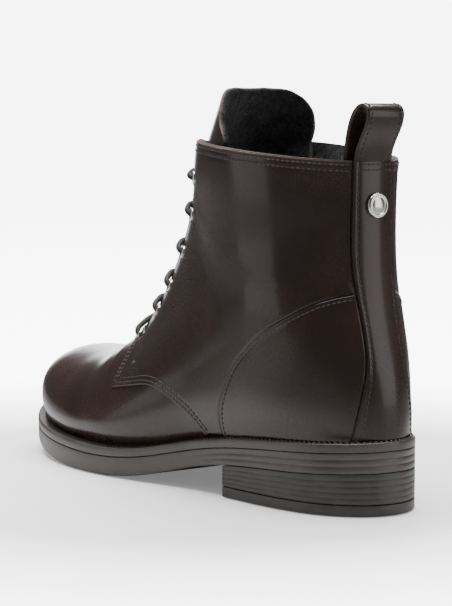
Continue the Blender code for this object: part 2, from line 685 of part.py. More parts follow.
def cord(name, route):
    """Round cord along a route, as a mesh."""
    curve = bpy.data.curves.new(name, "CURVE")
    curve.dimensions = "3D"
    curve.bevel_depth = LACE_RADIUS * MM
    curve.bevel_resolution = 1
    curve.use_fill_caps = True
    line = curve.splines.new("POLY")
    line.points.add(len(route) - 1)
    for knot, place in zip(line.points, route):
        knot.co = (*((np.asarray(place) - CENTRE) * MM), 1.0)
    drawn = bpy.data.objects.new(name, curve)
    cutters.objects.link(drawn)
    bpy.context.view_layer.update()
    mesh = bpy.data.meshes.new_from_object(drawn.evaluated_get(bpy.context.evaluated_depsgraph_get()))
    bpy.data.objects.remove(drawn)
    mesh.name = name
    return mesh


laces = bpy.data.objects.new("laces", cord("laces", lace_points(1)))
laces.data.materials.clear()
laces.data.materials.append(material("lace_cord", (0.03, 0.022, 0.018), 0.7))
parts.objects.link(laces)
second = bpy.data.objects.new("second_cord", cord("second_cord", lace_points(-1)))
cutters.objects.link(second)
second.hide_render = True
second.display_type = "WIRE"
boolean(laces, second, "UNION")

# Zip on the inner side: tape, teeth, slider and pull in the slot.
short_line = ZIP_LINE[:-1] + [(57.6, 77.6)]
zip_rows = [row for row in UPPER_ROWS if row >= 10.2]


def zip_phis(row, side):
    return np.linspace(0.26, 1.5, 9)


for name, half, rise, thickness, shade in (
        ("zip_tape", 4.3, -2.0, 1.2, material("zip_cloth", (0.02, 0.017, 0.016), 0.85)),
        ("zip_teeth", 2.4, -0.5, 1.2, material("zip_metal", (0.5, 0.48, 0.45), 0.3, 1.0))):
    band = sheet(name, -1, zip_rows, zip_phis, rise, thickness, shade)
    boolean(band, prism(f"{name}_form", ribbon(short_line, half), "Y", -90.0, -1.5), "INTERSECT")

SLIDER_AT = (43.1, 143.0)
place = locate(*SLIDER_AT, -1)
slider_point, slider_out = skin(place[0], place[1], -1, 0.0)
below = locate(SLIDER_AT[0] + 1.2, SLIDER_AT[1] - 8.0, -1)
slider_down = last_point(below[0], below[1], -1) - slider_point
slider_down -= slider_out * np.dot(slider_down, slider_out)
slider_down /= np.linalg.norm(slider_down)
slider_across = np.cross(slider_out, slider_down)


def block(name, polygon, spread, plane, shade=None):
    """Prism in the slider's own directions; plane is 'side' (down, out) or 'face' (across, down)."""
    first, second_way, third = {
        "side": (slider_down, slider_out, slider_across),
        "face": (slider_across, slider_down, slider_out)}[plane]
    n = len(polygon)
    points = [slider_point + first * u + second_way * v + third * w for w in spread for u, v in polygon]
    faces = [tuple(range(n)), tuple(range(n, 2 * n))]
    faces += [(i, (i + 1) % n, n + (i + 1) % n, n + i) for i in range(n)]
    return add(name, points, faces, shade)


SLIDER_SIDE = [(-5.0, -0.2), (5.0, -0.2), (5.0, 1.2), (3.5, 2.0), (-3.5, 2.0), (-5.0, 1.2)]
LUG_SIDE = [(-3.2, 1.4), (-3.2, 3.6), (-2.6, 4.3), (-1.4, 4.3), (-0.8, 3.6), (-0.8, 1.4)]
PULL_FACE = [(-2.9, -2.8), (-1.3, -2.8), (-1.3, 0.2), (1.3, 0.2), (1.3, -2.8), (2.9, -2.8),
             (2.9, 3.0), (2.6, 15.5), (1.6, 17.0), (-1.6, 17.0), (-2.6, 15.5), (-2.9, 3.0)]
slider = block("zip_slider", SLIDER_SIDE, (-3.8, 3.8), "side", material("slider_nickel", *NICKEL))
boolean(slider, block("slider_lug", LUG_SIDE, (-0.9, 0.9), "side"), "UNION")
block("zip_pull", PULL_FACE, (2.6, 4.0), "face", material("pull_leather", BROWN, 0.4))
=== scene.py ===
# %% [markdown]
# # A left lace-up ankle boot
# The boot is glossy dark brown leather: a vamp over the toes, two quarters that lace over a
# tongue, a counter and a strip up the back, a pull loop, a stud, and a zip on the inner side.
# It stands on a stacked heel with a welted sole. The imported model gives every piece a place;
# this lesson makes the surfaces that the camera sees, in the same frame.

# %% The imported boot
import math

import bmesh
import bpy
import numpy as np
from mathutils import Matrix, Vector
from mathutils.kdtree import KDTree


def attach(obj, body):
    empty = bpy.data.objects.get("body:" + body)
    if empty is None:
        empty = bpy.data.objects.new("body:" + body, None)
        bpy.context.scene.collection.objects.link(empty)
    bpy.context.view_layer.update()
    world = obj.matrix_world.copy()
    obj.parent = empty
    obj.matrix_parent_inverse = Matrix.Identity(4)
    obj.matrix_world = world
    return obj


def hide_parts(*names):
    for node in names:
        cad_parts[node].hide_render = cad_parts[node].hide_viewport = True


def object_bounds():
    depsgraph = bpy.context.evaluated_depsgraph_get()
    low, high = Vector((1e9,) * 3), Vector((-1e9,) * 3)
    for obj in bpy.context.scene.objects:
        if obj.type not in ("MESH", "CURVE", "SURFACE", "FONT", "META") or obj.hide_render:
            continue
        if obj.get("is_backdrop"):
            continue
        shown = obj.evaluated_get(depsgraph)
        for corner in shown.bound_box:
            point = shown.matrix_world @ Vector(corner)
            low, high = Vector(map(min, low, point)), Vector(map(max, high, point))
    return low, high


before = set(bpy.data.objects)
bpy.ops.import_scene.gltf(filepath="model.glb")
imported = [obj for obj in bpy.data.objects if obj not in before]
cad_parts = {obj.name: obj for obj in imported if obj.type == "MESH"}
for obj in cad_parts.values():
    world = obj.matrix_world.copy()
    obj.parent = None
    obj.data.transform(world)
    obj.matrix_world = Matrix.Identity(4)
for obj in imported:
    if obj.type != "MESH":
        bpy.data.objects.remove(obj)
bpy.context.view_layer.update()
print("pieces in the frame:", len(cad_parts))

# %% [markdown]
# ## The shape of the last
# A shoemaker pulls the leather over a wooden foot, the last. One could push a cube about until
# it looks like a boot, but then no two panels would share a surface. So the last is a fan of
# cross-sections from the toe to the collar, and each panel is a patch of it at its own rise.
# The tables are millimetres: X from heel to toe, Y to the outer side, Z up.

# %% Sizes of the sole and the last
MM = 0.001
SIDES = ((1, "lateral"), (-1, "medial"))
SOLE_LENGTH = 260.0
CENTRE = np.array([SOLE_LENGTH / 2, 0.84, 0.0])
SEAT = 0.5
HEEL_BREAST = 76.0
LIFT_HEIGHT = 4.7
# Welt edge: share of the length, outer side, inner side.
OUTLINE = [
    (0.000, 0.0, 0.0), (0.006, 8.3, -8.2), (0.025, 16.3, -16.1), (0.080, 26.5, -26.0),
    (0.160, 31.5, -30.5), (0.260, 33.0, -31.0), (0.380, 34.4, -28.5), (0.500, 40.4, -30.5),
    (0.600, 45.0, -36.5), (0.680, 45.4, -41.5), (0.760, 42.5, -44.0), (0.840, 36.5, -42.5),
    (0.910, 27.5, -37.0), (0.965, 15.5, -27.5), (1.000, -7.0, -7.0),
]
# Along the sole: distance from the heel, underside of the outsole, top of the welt.
PROFILE = [
    (0, 18.0, 31.0), (35, 16.4, 29.1), (76, 13.8, 25.6), (100, 9.6, 21.5), (130, 2.6, 15.2),
    (155, -0.2, 13.0), (178, -0.2, 13.3), (200, 1.2, 14.2), (225, 4.4, 16.1),
    (245, 8.3, 19.0), (260, 11.8, 22.5),
]
# Sections, toe to collar: front x z, base x z, half-widths, girth share, fullness, front middle.
SECTIONS = [
    (254.2, 22.3, 254.2, None, 1.0, 1.0, 0.20, 2.2, -7.0),
    (250.2, 36.0, 251.6, None, 14.2, 14.5, 0.25, 2.3, -7.0),
    (247.2, 43.2, 244.5, None, 24.4, 25.5, 0.28, 2.4, -7.0),
    (239.7, 49.2, 231.0, None, 32.2, 33.5, 0.28, 2.4, -7.0),
    (227.5, 51.3, 214.0, None, 38.8, 37.5, 0.28, 2.3, -6.0),
    (212.5, 51.5, 194.0, None, 42.0, 39.0, 0.26, 2.2, -5.0),
    (196.2, 54.0, 174.0, None, 42.7, 38.0, 0.26, 2.1, -4.0),
    (181.3, 60.2, 154.0, None, 41.3, 35.5, 0.26, 2.0, -3.0),
    (166.8, 71.3, 132.0, None, 38.4, 32.5, 0.28, 1.95, -1.5),
    (153.2, 86.5, 103.0, None, 35.0, 31.0, 0.32, 1.95, 0.0),
    (142.7, 103.5, 65.0, None, 34.0, 32.3, 0.37, 2.0, 0.0),
    (134.9, 119.2, 24.0, None, 34.1, 32.8, 0.42, 2.0, 0.0),
    (130.0, 131.5, None, None, 34.3, 33.0, 0.45, 2.0, 0.0),
    (127.0, 139.9, 4.0, 56.6, 34.4, 33.0, 0.47, 2.0, 0.0),
    (124.5, 145.8, 11.3, 86.8, 34.8, 33.4, 0.48, 2.05, 0.0),
    (121.7, 150.8, 14.2, 116.0, 36.1, 34.5, 0.49, 2.1, 0.0),
    (118.5, 155.4, 14.4, 146.0, 37.2, 36.5, 0.50, 2.1, 0.0),
]
COUNTER_ROW = 12
COLLAR_ROW = len(SECTIONS) - 1
THROAT_ROW = 7.2
THROAT_HALF, COLLAR_HALF = 8.5, 17.4

# %% Seams and edges
# Seams and the zip in side view: X and Z.
TAB_EDGE = [
    (174.5, 67.0), (169.6, 66.4), (165.4, 63.6), (162.3, 59.4), (160.6, 54.6), (158.9, 49.4), (155.9, 40.9),
]
DERBY_SEAM = [
    (155.9, 40.9), (148.2, 41.9), (138.0, 43.2), (128.5, 44.2), (121.5, 43.5), (114.5, 41.4), (108.3, 38.8),
    (103.0, 36.0), (99.4, 33.7), (95.7, 30.6), (92.6, 27.0), (89.5, 22.5), (86.5, 17.0),
]
COUNTER_SEAM = [
    (78.6, 17.0), (77.6, 26.5), (75.8, 38.0), (70.6, 51.1), (65.8, 58.6), (59.4, 64.8),
    (46.1, 74.6), (33.5, 81.6), (23.5, 87.4), (14.9, 90.8), (4.0, 93.5), (-12.0, 95.0),
]
ZIP_LINE = [(42.0, 152.0), (44.0, 138.0), (48.5, 116.0), (53.5, 94.0), (58.0, 76.0)]
# Back strip: height and half-width.
STRIP = [
    (28, 16.3), (38, 14.8), (48, 13.0), (61, 10.2), (72, 9.2), (87, 9.6), (101, 10.6), (122, 10.6),
    (150, 10.0),
]
# Eyelets from the collar down: row of the last, and distance from the edge of the facing.
EYELET_ROWS = [13.9, 12.0, 10.6, 9.65, 8.93, 8.0]
EYELET_INSET = [12.6, 12.4, 12.4, 12.8, 13.2, 13.6]
# Tongue: row, half-width on the outer and on the inner side.
TONGUE = [
    (6.5, 14.0, 14.0), (7.4, 22.0, 22.0), (9.0, 26.0, 26.0), (13.0, 29.8, 29.5), (15.0, 34.6, 31.6),
    (16.0, 36.3, 32.3), (16.6, 36.0, 32.3), (17.2, 35.0, 32.1), (17.8, 33.4, 31.6), (18.6, 31.4, 30.6),
    (19.3, 29.0, 28.8), (19.9, 25.8, 26.2), (20.4, 21.6, 22.5), (20.75, 16.0, 16.8), (20.95, 9.0, 9.0),
]
TONGUE_STEP = np.array([-2.6, 0.0, 5.0])
# Pull loop, up from the strip, over and down inside: X, Z and how far its edges hang back.
LOOP = [
    (14.5, 145.6, 2.0), (13.2, 151.5, 1.5), (10.8, 157.0, 0.8), (8.4, 162.0, 0.5), (7.9, 166.2, 0.4),
    (10.2, 168.7, 0.4), (14.0, 168.4, 0.4), (17.5, 165.0, 0.5), (19.5, 160.0, 0.8), (20.5, 154.0, 1.4),
    (20.7, 147.5, 2.0), (20.7, 140.0, 2.2), (20.7, 131.0, 2.2),
]
LOOP_WIDTH = 19.6
LOOP_THICKNESS = 1.8

# %% [markdown]
# A spline through each column of a table turns it into a smooth curve. The same natural cubic
# spline serves the sole, the sections and the seams, so the patches meet where they should.


# %% Splines through the tables
def natural(knots, values):
    """Natural cubic spline through a short table."""
    k = np.asarray(knots, float)
    v = np.asarray(values, float)
    n = len(k)
    h = np.diff(k)
    system = np.eye(n)
    right = np.zeros(n)
    for i in range(1, n - 1):
        system[i, i - 1:i + 2] = h[i - 1], 2 * (h[i - 1] + h[i]), h[i]
        right[i] = 6 * ((v[i + 1] - v[i]) / h[i] - (v[i] - v[i - 1]) / h[i - 1])
    bend = np.linalg.solve(system, right)

    def value(x):
        x = np.asarray(x, float)
        i = np.clip(np.searchsorted(k, x, side="right") - 1, 0, n - 2)
        a = (k[i + 1] - x) / h[i]
        b = (x - k[i]) / h[i]
        curve = ((a ** 3 - a) * bend[i] + (b ** 3 - b) * bend[i + 1]) * h[i] ** 2 / 6
        return a * v[i] + b * v[i + 1] + curve
    return value


def smooth(x):
    x = np.clip(x, 0.0, 1.0)
    return x * x * (3 - 2 * x)


def curve_of(table, j):
    return natural([row[0] for row in table], [row[j] for row in table])


def run_of(line):
    """Length along a line at each of its points."""
    return np.concatenate([[0], np.cumsum(np.linalg.norm(np.diff(line, axis=0), axis=1))])


def sampled(at, run, line):
    """Points of a line at the given lengths."""
    return np.stack([np.interp(at, run, column) for column in line.T], -1)


def unit(ways):
    return ways / np.maximum(np.linalg.norm(ways, axis=-1, keepdims=True), 1e-9)


def drawn(points, count):
    """A smooth line through a few points, as many points."""
    points = np.asarray(points, float)
    run = run_of(points)
    at = np.linspace(0, run[-1], count)
    return np.stack([natural(run, column)(at) for column in points.T], -1)


# %% The outline of the sole
_angles = [math.acos(1 - 2 * s) for s, _, _ in OUTLINE]
_knots = _angles + [2 * math.pi - a for a in _angles[-2:0:-1]]
_edges = [row[1] for row in OUTLINE] + [row[2] for row in OUTLINE[-2:0:-1]]
edge_y = natural([k + t for t in (-2 * math.pi, 0.0, 2 * math.pi) for k in _knots], _edges * 3)
welt_top = curve_of(PROFILE, 2)
strip_half = curve_of(STRIP, 1)
tongue_half = {1: curve_of(TONGUE, 1), -1: curve_of(TONGUE, 2)}
_under = curve_of(PROFILE, 1)


def underside(x):
    return np.maximum(_under(x), 0.0)


def outline(a, inset=0.0):
    """Plan points of the welt edge at angles a, moved in by inset."""
    a = np.asarray(a, float)

    def at(b):
        return np.stack([SOLE_LENGTH / 2 * (1 - np.cos(b)), edge_y(np.mod(b, 2 * np.pi))], -1)
    d = unit(at(a + 1e-4) - at(a - 1e-4))
    outward = np.stack([-d[..., 1], d[..., 0]], -1)
    return at(a) - outward * np.asarray(inset)[..., None]


def feather_inset(a):
    """Width of the welt ledge: narrow at the heel, wider round the forefoot."""
    return 2.6 + 2.8 * smooth(((1 - np.cos(a)) / 2 - 0.25) / 0.3)


_a = np.linspace(0, 2 * np.pi, 721)
_feather = outline(_a, feather_inset(_a))
_halves = {1: _feather[:361], -1: _feather[360:][::-1]}
HEEL_X = float(_feather[:, 0].min())
TOE_X = float(_feather[:, 0].max())


def feather_y(x, side):
    points = _halves[side][np.argsort(_halves[side][:, 0])]
    return np.interp(x, points[:, 0], points[:, 1])


print("sole", SOLE_LENGTH, "mm long, feather line from", round(HEEL_X, 1), "to", round(TOE_X, 1))

# %% The sections of the last
_all = range(len(SECTIONS))
front_x, front_z = (natural(_all, [r[j] for r in SECTIONS]) for j in (0, 1))
half_width = {1: natural(_all, [r[4] for r in SECTIONS]), -1: natural(_all, [r[5] for r in SECTIONS])}
girth, fullness, front_y = (natural(_all, [r[j] for r in SECTIONS]) for j in (6, 7, 8))
_rows = range(COUNTER_ROW, len(SECTIONS))
base_x = natural(range(COUNTER_ROW + 1), [r[2] for r in SECTIONS[:COUNTER_ROW]] + [HEEL_X])
back_x = natural(_rows, [HEEL_X] + [r[2] for r in SECTIONS[COUNTER_ROW + 1:]])
back_z = natural(_rows, [float(welt_top(0.0)) + SEAT] + [r[3] for r in SECTIONS[COUNTER_ROW + 1:]])


def section_point(row, phi, side):
    """Point of a section: phi 0 at the feather or back line, 1 at the widest, 2 in front."""
    stands = row <= COUNTER_ROW
    low = np.minimum(row, COUNTER_ROW)
    high = np.maximum(row, COUNTER_ROW)
    bx = np.where(stands, np.clip(base_x(low), HEEL_X, TOE_X), back_x(high))
    bz = np.where(stands, welt_top(bx) + SEAT, back_z(high))
    outer = np.where(stands, feather_y(bx, 1), 0.0)
    inner = np.where(stands, feather_y(bx, -1), 0.0)
    middle = (outer + inner) / 2
    foot = (outer - inner) / 2
    wide = np.maximum(half_width[side](row), 1e-3)
    bend = 2 - 0.7 * smooth((row - 8) / 3.5)
    share = np.where(phi < 1, np.sin((1 - phi) * np.pi / 2), np.sin((phi - 1) * np.pi / 2))
    along = np.where(phi < 1, girth(row) * (1 - share), girth(row) + (1 - girth(row)) * share)
    rear = np.sqrt(np.maximum(1 - share ** 2 + (foot / wide) ** 2 * np.abs(share) ** bend, 0))
    front = np.sqrt(np.maximum(1 - np.abs(share) ** fullness(row), 0))
    y = middle + (front_y(row) - middle) * along + side * wide * np.where(phi < 1, rear, front)
    return np.stack([bx + (front_x(row) - bx) * along, y, bz + (front_z(row) - bz) * along], -1)


def last_point(row, phi, side):
    """Point of the last: the sections, averaged along the rows round the counter."""
    row, phi = np.broadcast_arrays(np.asarray(row, float), np.asarray(phi, float))
    reach = 0.9 * smooth(phi / 0.35) * smooth(1 - np.abs(row - COUNTER_ROW) / 3)
    taps = np.linspace(-0.9, 0.9, 11).reshape((-1,) + (1,) * row.ndim)
    weights = (1 - taps ** 2) ** 2 / ((1 - taps ** 2) ** 2).sum()
    return (weights[..., None] * section_point(row + reach * taps, phi + 0 * taps, side)).sum(0)


# %% [markdown]
# Worn leather sinks and swells where the foot bends it, and the lace draws the facings in. One
# could sculpt that, but a short table of troughs, each a line in side view with a depth and a
# width, can be read and changed, and every panel over it gets the same folds.

# %% Creases and facings
# Creases: side, first and last end in side view, depth, width (a trough, with low ridges beside).
CREASES = [
    (1, (34, 99), (66, 92), 0.20, 8.0), (1, (28, 116), (52, 112), 0.14, 8.0),
    (1, (152, 60), (118, 84), 0.22, 8.0), (1, (138, 52), (112, 66), 0.14, 7.0),
    (1, (62, 50), (38, 60), 0.30, 13.0), (1, (206, 46), (200, 24), 0.10, 7.0),
    (1, (188, 50), (178, 26), 0.16, 7.0), (-1, (34, 99), (68, 92), 0.22, 8.0),
    (-1, (152, 60), (118, 84), 0.22, 8.0), (-1, (206, 46), (200, 24), 0.10, 7.0),
    (-1, (188, 50), (178, 26), 0.16, 7.0),
]


def crease(spot, side):
    """How far the worn leather sinks or swells at a point of the last."""
    total = np.zeros(spot.shape[:-1])
    for where, first, last, depth, width in CREASES:
        if where == side:
            a, b = np.array(first, float), np.array(last, float)
            flat = spot[..., [0, 2]]
            share = np.clip(((flat - a) @ (b - a)) / ((b - a) @ (b - a)), 0, 1)
            off = np.linalg.norm(flat - a - share[..., None] * (b - a), axis=-1) / width
            total = total + depth * (0.45 * np.exp(-(off - 1.6) ** 2) - np.exp(-off ** 2))
    return total * smooth((spot[..., 2] - 20) / 12)


# Facings lie flatter than the last, because the lace draws them in: row and depth.
PINCH = [
    (6.9, 0.0), (7.3, 0.7), (7.7, 2.6), (8.2, 3.9), (8.8, 3.8), (9.5, 3.2), (10.6, 2.0), (12.0, 0.6),
    (13.0, 0.0),
]


def pinch(row, phi):
    depth = np.interp(row, *zip(*PINCH))
    return depth * smooth((phi - 1.02) / 0.4) * smooth((2 - phi) / 0.42)


def skin(row, phi, side, rise):
    """Point at a rise above the last, and the outward direction there."""
    row, phi = np.broadcast_arrays(np.asarray(row, float), np.asarray(phi, float))
    step = 0.02
    r0, r1 = np.clip(row - step, 0, COLLAR_ROW), np.clip(row + step, 0, COLLAR_ROW)
    p0, p1 = np.clip(phi - step, 0, 2), np.clip(phi + step, 0, 2)
    across = last_point(row, p1, side) - last_point(row, p0, side)
    along = last_point(r1, phi, side) - last_point(r0, phi, side)
    normal = unit(np.cross(along, across) * side)
    spot = last_point(row, phi, side)
    folds = crease(spot, side) * smooth(phi / 0.3) * smooth((2 - phi) / 0.3)
    lift = np.asarray(rise) - pinch(row, phi) + folds
    return spot + normal * lift[..., None], normal


# %% Places on the last
def on_last(places, side):
    """Points of the last at places, each a row and a phi."""
    return last_point(places[..., 0], places[..., 1], side)


def phi_at_half(row, half, side):
    """Where the front of a section is this far from its middle."""
    share = np.clip(1 - (half / half_width[side](row)) ** 2, 0, 1) ** (1 / fullness(row))
    return 1 + np.arcsin(np.clip(share, 0, 1)) * 2 / np.pi


def facing_phi(row, side):
    """Edge of the facing, or the front line below the throat."""
    row = np.asarray(row, float)
    half = THROAT_HALF + (COLLAR_HALF - THROAT_HALF) * np.clip(
        (row - THROAT_ROW) / (COLLAR_ROW - THROAT_ROW), 0, 1)
    opening = np.sqrt(np.clip((row - THROAT_ROW) / 0.3, 0, 1))
    return phi_at_half(row, half * opening, side)


def eyelet_phi(row, side, reach):
    """Eyelet centre: a set distance back from the facing edge along the section."""
    phi = float(facing_phi(row, side)) - np.linspace(0, 0.6, 300)
    steps = np.linalg.norm(np.diff(last_point(row, phi, side), axis=0), axis=1)
    return float(np.interp(reach, np.concatenate([[0], np.cumsum(steps)]), phi))


def find(x, z, side, guess=(10.0, 0.7), axes=(0, 2)):
    """Rows and phis of points given in side view, or in back view with axes 1 and 2."""
    place = np.tile(np.array(guess, float), (len(x), 1)) if np.ndim(guess) == 1 else np.array(guess)
    goal = np.stack([x, z], -1)
    axes = list(axes)
    for _ in range(28):
        here = on_last(place, side)[:, axes]
        a = (on_last(place + (1e-3, 0), side)[:, axes] - here) / 1e-3
        b = (on_last(place + (0, 1e-3), side)[:, axes] - here) / 1e-3
        left = goal - here
        size = a[:, 0] * b[:, 1] - a[:, 1] * b[:, 0]
        size = np.where(np.abs(size) < 1e-3, 1e-3, size)
        move = np.stack([left[:, 0] * b[:, 1] - left[:, 1] * b[:, 0],
                         a[:, 0] * left[:, 1] - a[:, 1] * left[:, 0]], -1) / size[:, None]
        place = np.clip(place + np.clip(move, -0.25, 0.25), (5.0, 0.005), (COLLAR_ROW, 1.96))
    return place


# %% [markdown]
# ## Meshes from grids
# Every leather piece here is a grid on the last with a face, a back and a rim, so it is a closed
# solid like the real cut leather. A Solidify modifier could give the thickness too, but building
# both sides lets the rim be rounded and the stitch lines be pressed in exactly where they run.


# %% Mesh helpers
SHARP = math.radians(50)


def placed(name, data):
    made = bpy.data.objects.new(name, data)
    bpy.context.scene.collection.objects.link(made)
    return made


def build(name, points, faces, shades, kinds=None, uv=None, weld=0.004):
    """Mesh object from millimetre points; kinds pick a material for each face."""
    mesh = bpy.data.meshes.new(name)
    mesh.from_pydata(((np.asarray(points, float) - CENTRE) * MM).tolist(), [], [tuple(f) for f in faces])
    for shade in shades:
        mesh.materials.append(shade)
    if kinds is not None:
        mesh.polygons.foreach_set("material_index", np.asarray(kinds, np.int32))
    if uv is not None:
        layer = mesh.uv_layers.new(name="run")
        corners = np.zeros(len(mesh.loops), np.int32)
        mesh.loops.foreach_get("vertex_index", corners)
        layer.data.foreach_set("uv", np.asarray(uv, np.float32)[corners].ravel())
    work = bmesh.new()
    work.from_mesh(mesh)
    if weld:
        bmesh.ops.remove_doubles(work, verts=work.verts, dist=weld * MM)
        bmesh.ops.dissolve_degenerate(work, edges=work.edges, dist=1.5 * weld * MM)
    bmesh.ops.recalc_face_normals(work, faces=work.faces)
    if work.calc_volume(signed=True) < 0:
        bmesh.ops.reverse_faces(work, faces=work.faces)
    for face in work.faces:
        face.smooth = True
    work.to_mesh(mesh)
    work.free()
    mesh.set_sharp_from_angle(angle=SHARP)
    return placed(name, mesh)


def dress(piece, slot, *nodes, body="boot"):
    """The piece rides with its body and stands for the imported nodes."""
    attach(piece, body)
    if nodes:
        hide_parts(*nodes)
    return piece


def grid_faces(rows, columns):
    i, j = np.meshgrid(np.arange(rows - 1), np.arange(columns - 1), indexing="ij")
    a = (i * columns + j).ravel()
    return np.stack([a, a + 1, a + columns + 1, a + columns], -1)


def band(count, low, high):
    """Faces between two closed loops of points that start at low and high."""
    turns = [(i, (i + 1) % count) for i in range(count)]
    return [(low + i, low + j, high + j, high + i) for i, j in turns]


def slab(face, back):
    """Closed solid of two grids: points, faces and a kind for each face (0 face, 1 back, 2 rim)."""
    rows, columns = face.shape[:2]
    count = rows * columns
    top = grid_faces(rows, columns)
    ends = np.concatenate([top[:, [0, 1]], top[:, [1, 2]], top[:, [2, 3]], top[:, [3, 0]]])
    paired = np.sort(ends, axis=1)
    _, index, counts = np.unique(paired, axis=0, return_inverse=True, return_counts=True)
    rim = ends[counts[index.ravel()] == 1]
    walls = np.stack([rim[:, 0], rim[:, 0] + count, rim[:, 1] + count, rim[:, 1]], -1)
    faces = np.vstack([top, top[:, ::-1] + count, walls])
    kinds = np.repeat([0, 1, 2], [len(top), len(top), len(walls)])
    return np.vstack([face.reshape(-1, 3), back.reshape(-1, 3)]), faces, kinds


# %% [markdown]
# A quarter has a curved seam behind and a cornered edge in front. A plain patch between four
# edges folds over itself there, so its grid is a fan of curves that leave the rear seam square
# to it and end on the front edge. The counters are simpler, and a plain patch serves.

# %% Patches between seams
RIM_STEPS = (0.05, 0.14, 0.28, 0.45, 0.7, 1.1, 1.5, 1.8, 2.1, 2.5, 3.1, 3.8, 4.2, 4.6, 5.4)


def shares(length, pitch, fine=RIM_STEPS):
    """Shares along a line, fine near both ends where the rim and the stitches are."""
    near = np.array((0.0,) + tuple(fine)) / length
    inner = np.linspace(near[-1], 1 - near[-1], max(int((length - 2 * fine[-1]) / pitch), 4))
    return np.concatenate([near[:-1], inner, (1 - near[:-1])[::-1]])


def along(places, side):
    """A line of places as a function of its share of the length."""
    run = run_of(on_last(places, side))
    return lambda share: sampled(share * run[-1], run, places)


def patch(bottom, top, left, right, u, v):
    """Places filled in between four edges (a Coons patch)."""
    b, t, l, r = bottom(u)[None], top(u)[None], left(v)[:, None], right(v)[:, None]
    s, w = u[None, :, None], v[:, None, None]
    corners = ((1 - s) * (1 - w) * b[:, :1] + s * (1 - w) * b[:, -1:]
               + (1 - s) * w * t[:, :1] + s * w * t[:, -1:])
    return (1 - w) * b + w * t + (1 - s) * l + s * r - corners


def straight(a, b):
    a, b = np.asarray(a, float), np.asarray(b, float)
    return lambda share: a + (b - a) * np.asarray(share)[:, None]


def fan(rear, front, side, pairs, reach, u, v):
    """Places between two edges on curves that leave the rear edge square to it."""
    share = np.interp(v, *zip(*pairs))
    start = along(rear, side)(np.linspace(0, 1, 300))
    way = evened(inset(start, side, 6.0 * side) - start) * reach
    a = along(rear, side)(share)[:, None]
    b = a + sampled(share, np.linspace(0, 1, 300), way)[:, None]
    d, w = along(front, side)(v)[:, None], u[None, :, None]
    return (1 - w) ** 3 * a + 3 * w * (1 - w) ** 2 * b + (3 * w * w * (1 - w) + w ** 3) * d


# %% Lines moved and measured
def evened(values, count=15):
    """Running mean of each column, with the ends held."""
    mean, pad = np.ones(count) / count, count // 2
    held = [np.pad(column, pad, mode="edge") for column in values.T]
    return np.stack([np.convolve(column, mean, "valid") for column in held], -1)


def inset(places, side, distance, even=False):
    """A line of places moved sideways on the last, to the left seen from outside."""
    places = np.array(places, float)
    steps = max(int(abs(distance) / 0.6), 1)
    for _ in range(steps):
        r, p = places[:, 0], places[:, 1]
        spot, normal = skin(r, p, side, np.zeros(len(r)))
        aside = unit(np.cross(normal, np.gradient(spot, axis=0)))
        aside = evened(aside) if even else aside
        spot = last_point(r, p, side)
        a = (last_point(r + 1e-3, p, side) - spot) / 1e-3
        b = (last_point(r, p + 1e-3, side) - spot) / 1e-3
        aa, ab, bb = (a * a).sum(1), (a * b).sum(1), (b * b).sum(1)
        da, db = (a * aside).sum(1), (b * aside).sum(1)
        size = aa * bb - ab * ab
        move = np.stack([da * bb - db * ab, aa * db - ab * da], -1) / size[:, None]
        places = np.clip(places + move * distance / steps, (0.0, 0.0), (COLLAR_ROW, 2.0))
    return places


def nearness(spots, lines):
    """Distance of each spot from the nearest line."""
    dense = []
    for line in lines:
        run = run_of(line)
        dense.append(sampled(np.linspace(0, run[-1], int(run[-1] / 0.08) + 2), run, line))
    dense = np.vstack(dense)
    tree = KDTree(len(dense))
    for i, spot in enumerate(dense):
        tree.insert(spot, i)
    tree.balance()
    flat = spots.reshape(-1, 3)
    return np.array([tree.find(spot)[2] for spot in flat]).reshape(spots.shape[:-1])


# %% [markdown]
# ## Camera, floor and light
# The picture was taken from behind the outer side, a little above the sole. The camera stands
# where the perspective of the sole and the collar put it, and aims at the middle of the boot.
# A real studio hangs big white cloths round glossy leather, because leather shows what it
# reflects; large soft area lights do the same here.

# %% Camera
CAMERA_AT = Vector((-0.7501, 0.5510, 0.1622))
SIGHT = Vector((0.7752, -0.6277, -0.07115)).normalized()
LENS, CLOSER = 87.2, 1.38
PIXELS = 1468.4
IMAGE_MIDDLE, AIM_PIXEL = (226.0, 303.0), (170.0, 329.5)
camera = placed("camera", bpy.data.cameras.new("camera"))
camera.location = CAMERA_AT
camera.data.lens = LENS * CLOSER
camera.data.sensor_width = 36.0
side_way = SIGHT.cross(Vector((0, 0, 1))).normalized()
up_way = side_way.cross(SIGHT)
right, down = ((a - b) / PIXELS for a, b in zip(AIM_PIXEL, IMAGE_MIDDLE))
aim = SIGHT + side_way * right - up_way * down
camera.rotation_euler = aim.to_track_quat("-Z", "Y").to_euler()
bpy.context.scene.camera = camera
print("camera", round(CAMERA_AT.length, 3), "m away, lens", round(camera.data.lens, 1))


# %% Lights
def flat_light(name, at, toward, size, power):
    """Soft rectangular light at a point, turned towards another."""
    light = bpy.data.lights.new(name, "AREA")
    light.shape = "RECTANGLE"
    light.size, light.size_y = size
    light.energy = power
    lamp = placed(name, light)
    lamp.location = at
    lamp.rotation_euler = (Vector(toward) - Vector(at)).to_track_quat("-Z", "Y").to_euler()


flat_light("overhead", (0.2, -0.15, 1.6), (0.0, 0.0, 0.0), (1.6, 1.6), 95.0)
flat_light("front_panel", (0.47, 0.86, 0.47), (-0.06, 0.03, 0.47), (0.62, 0.92), 2.0)
flat_light("rear_panel", (-1.0, -0.55, 0.40), (-0.1, 0.0, 0.40), (0.6, 0.8), 3.4)

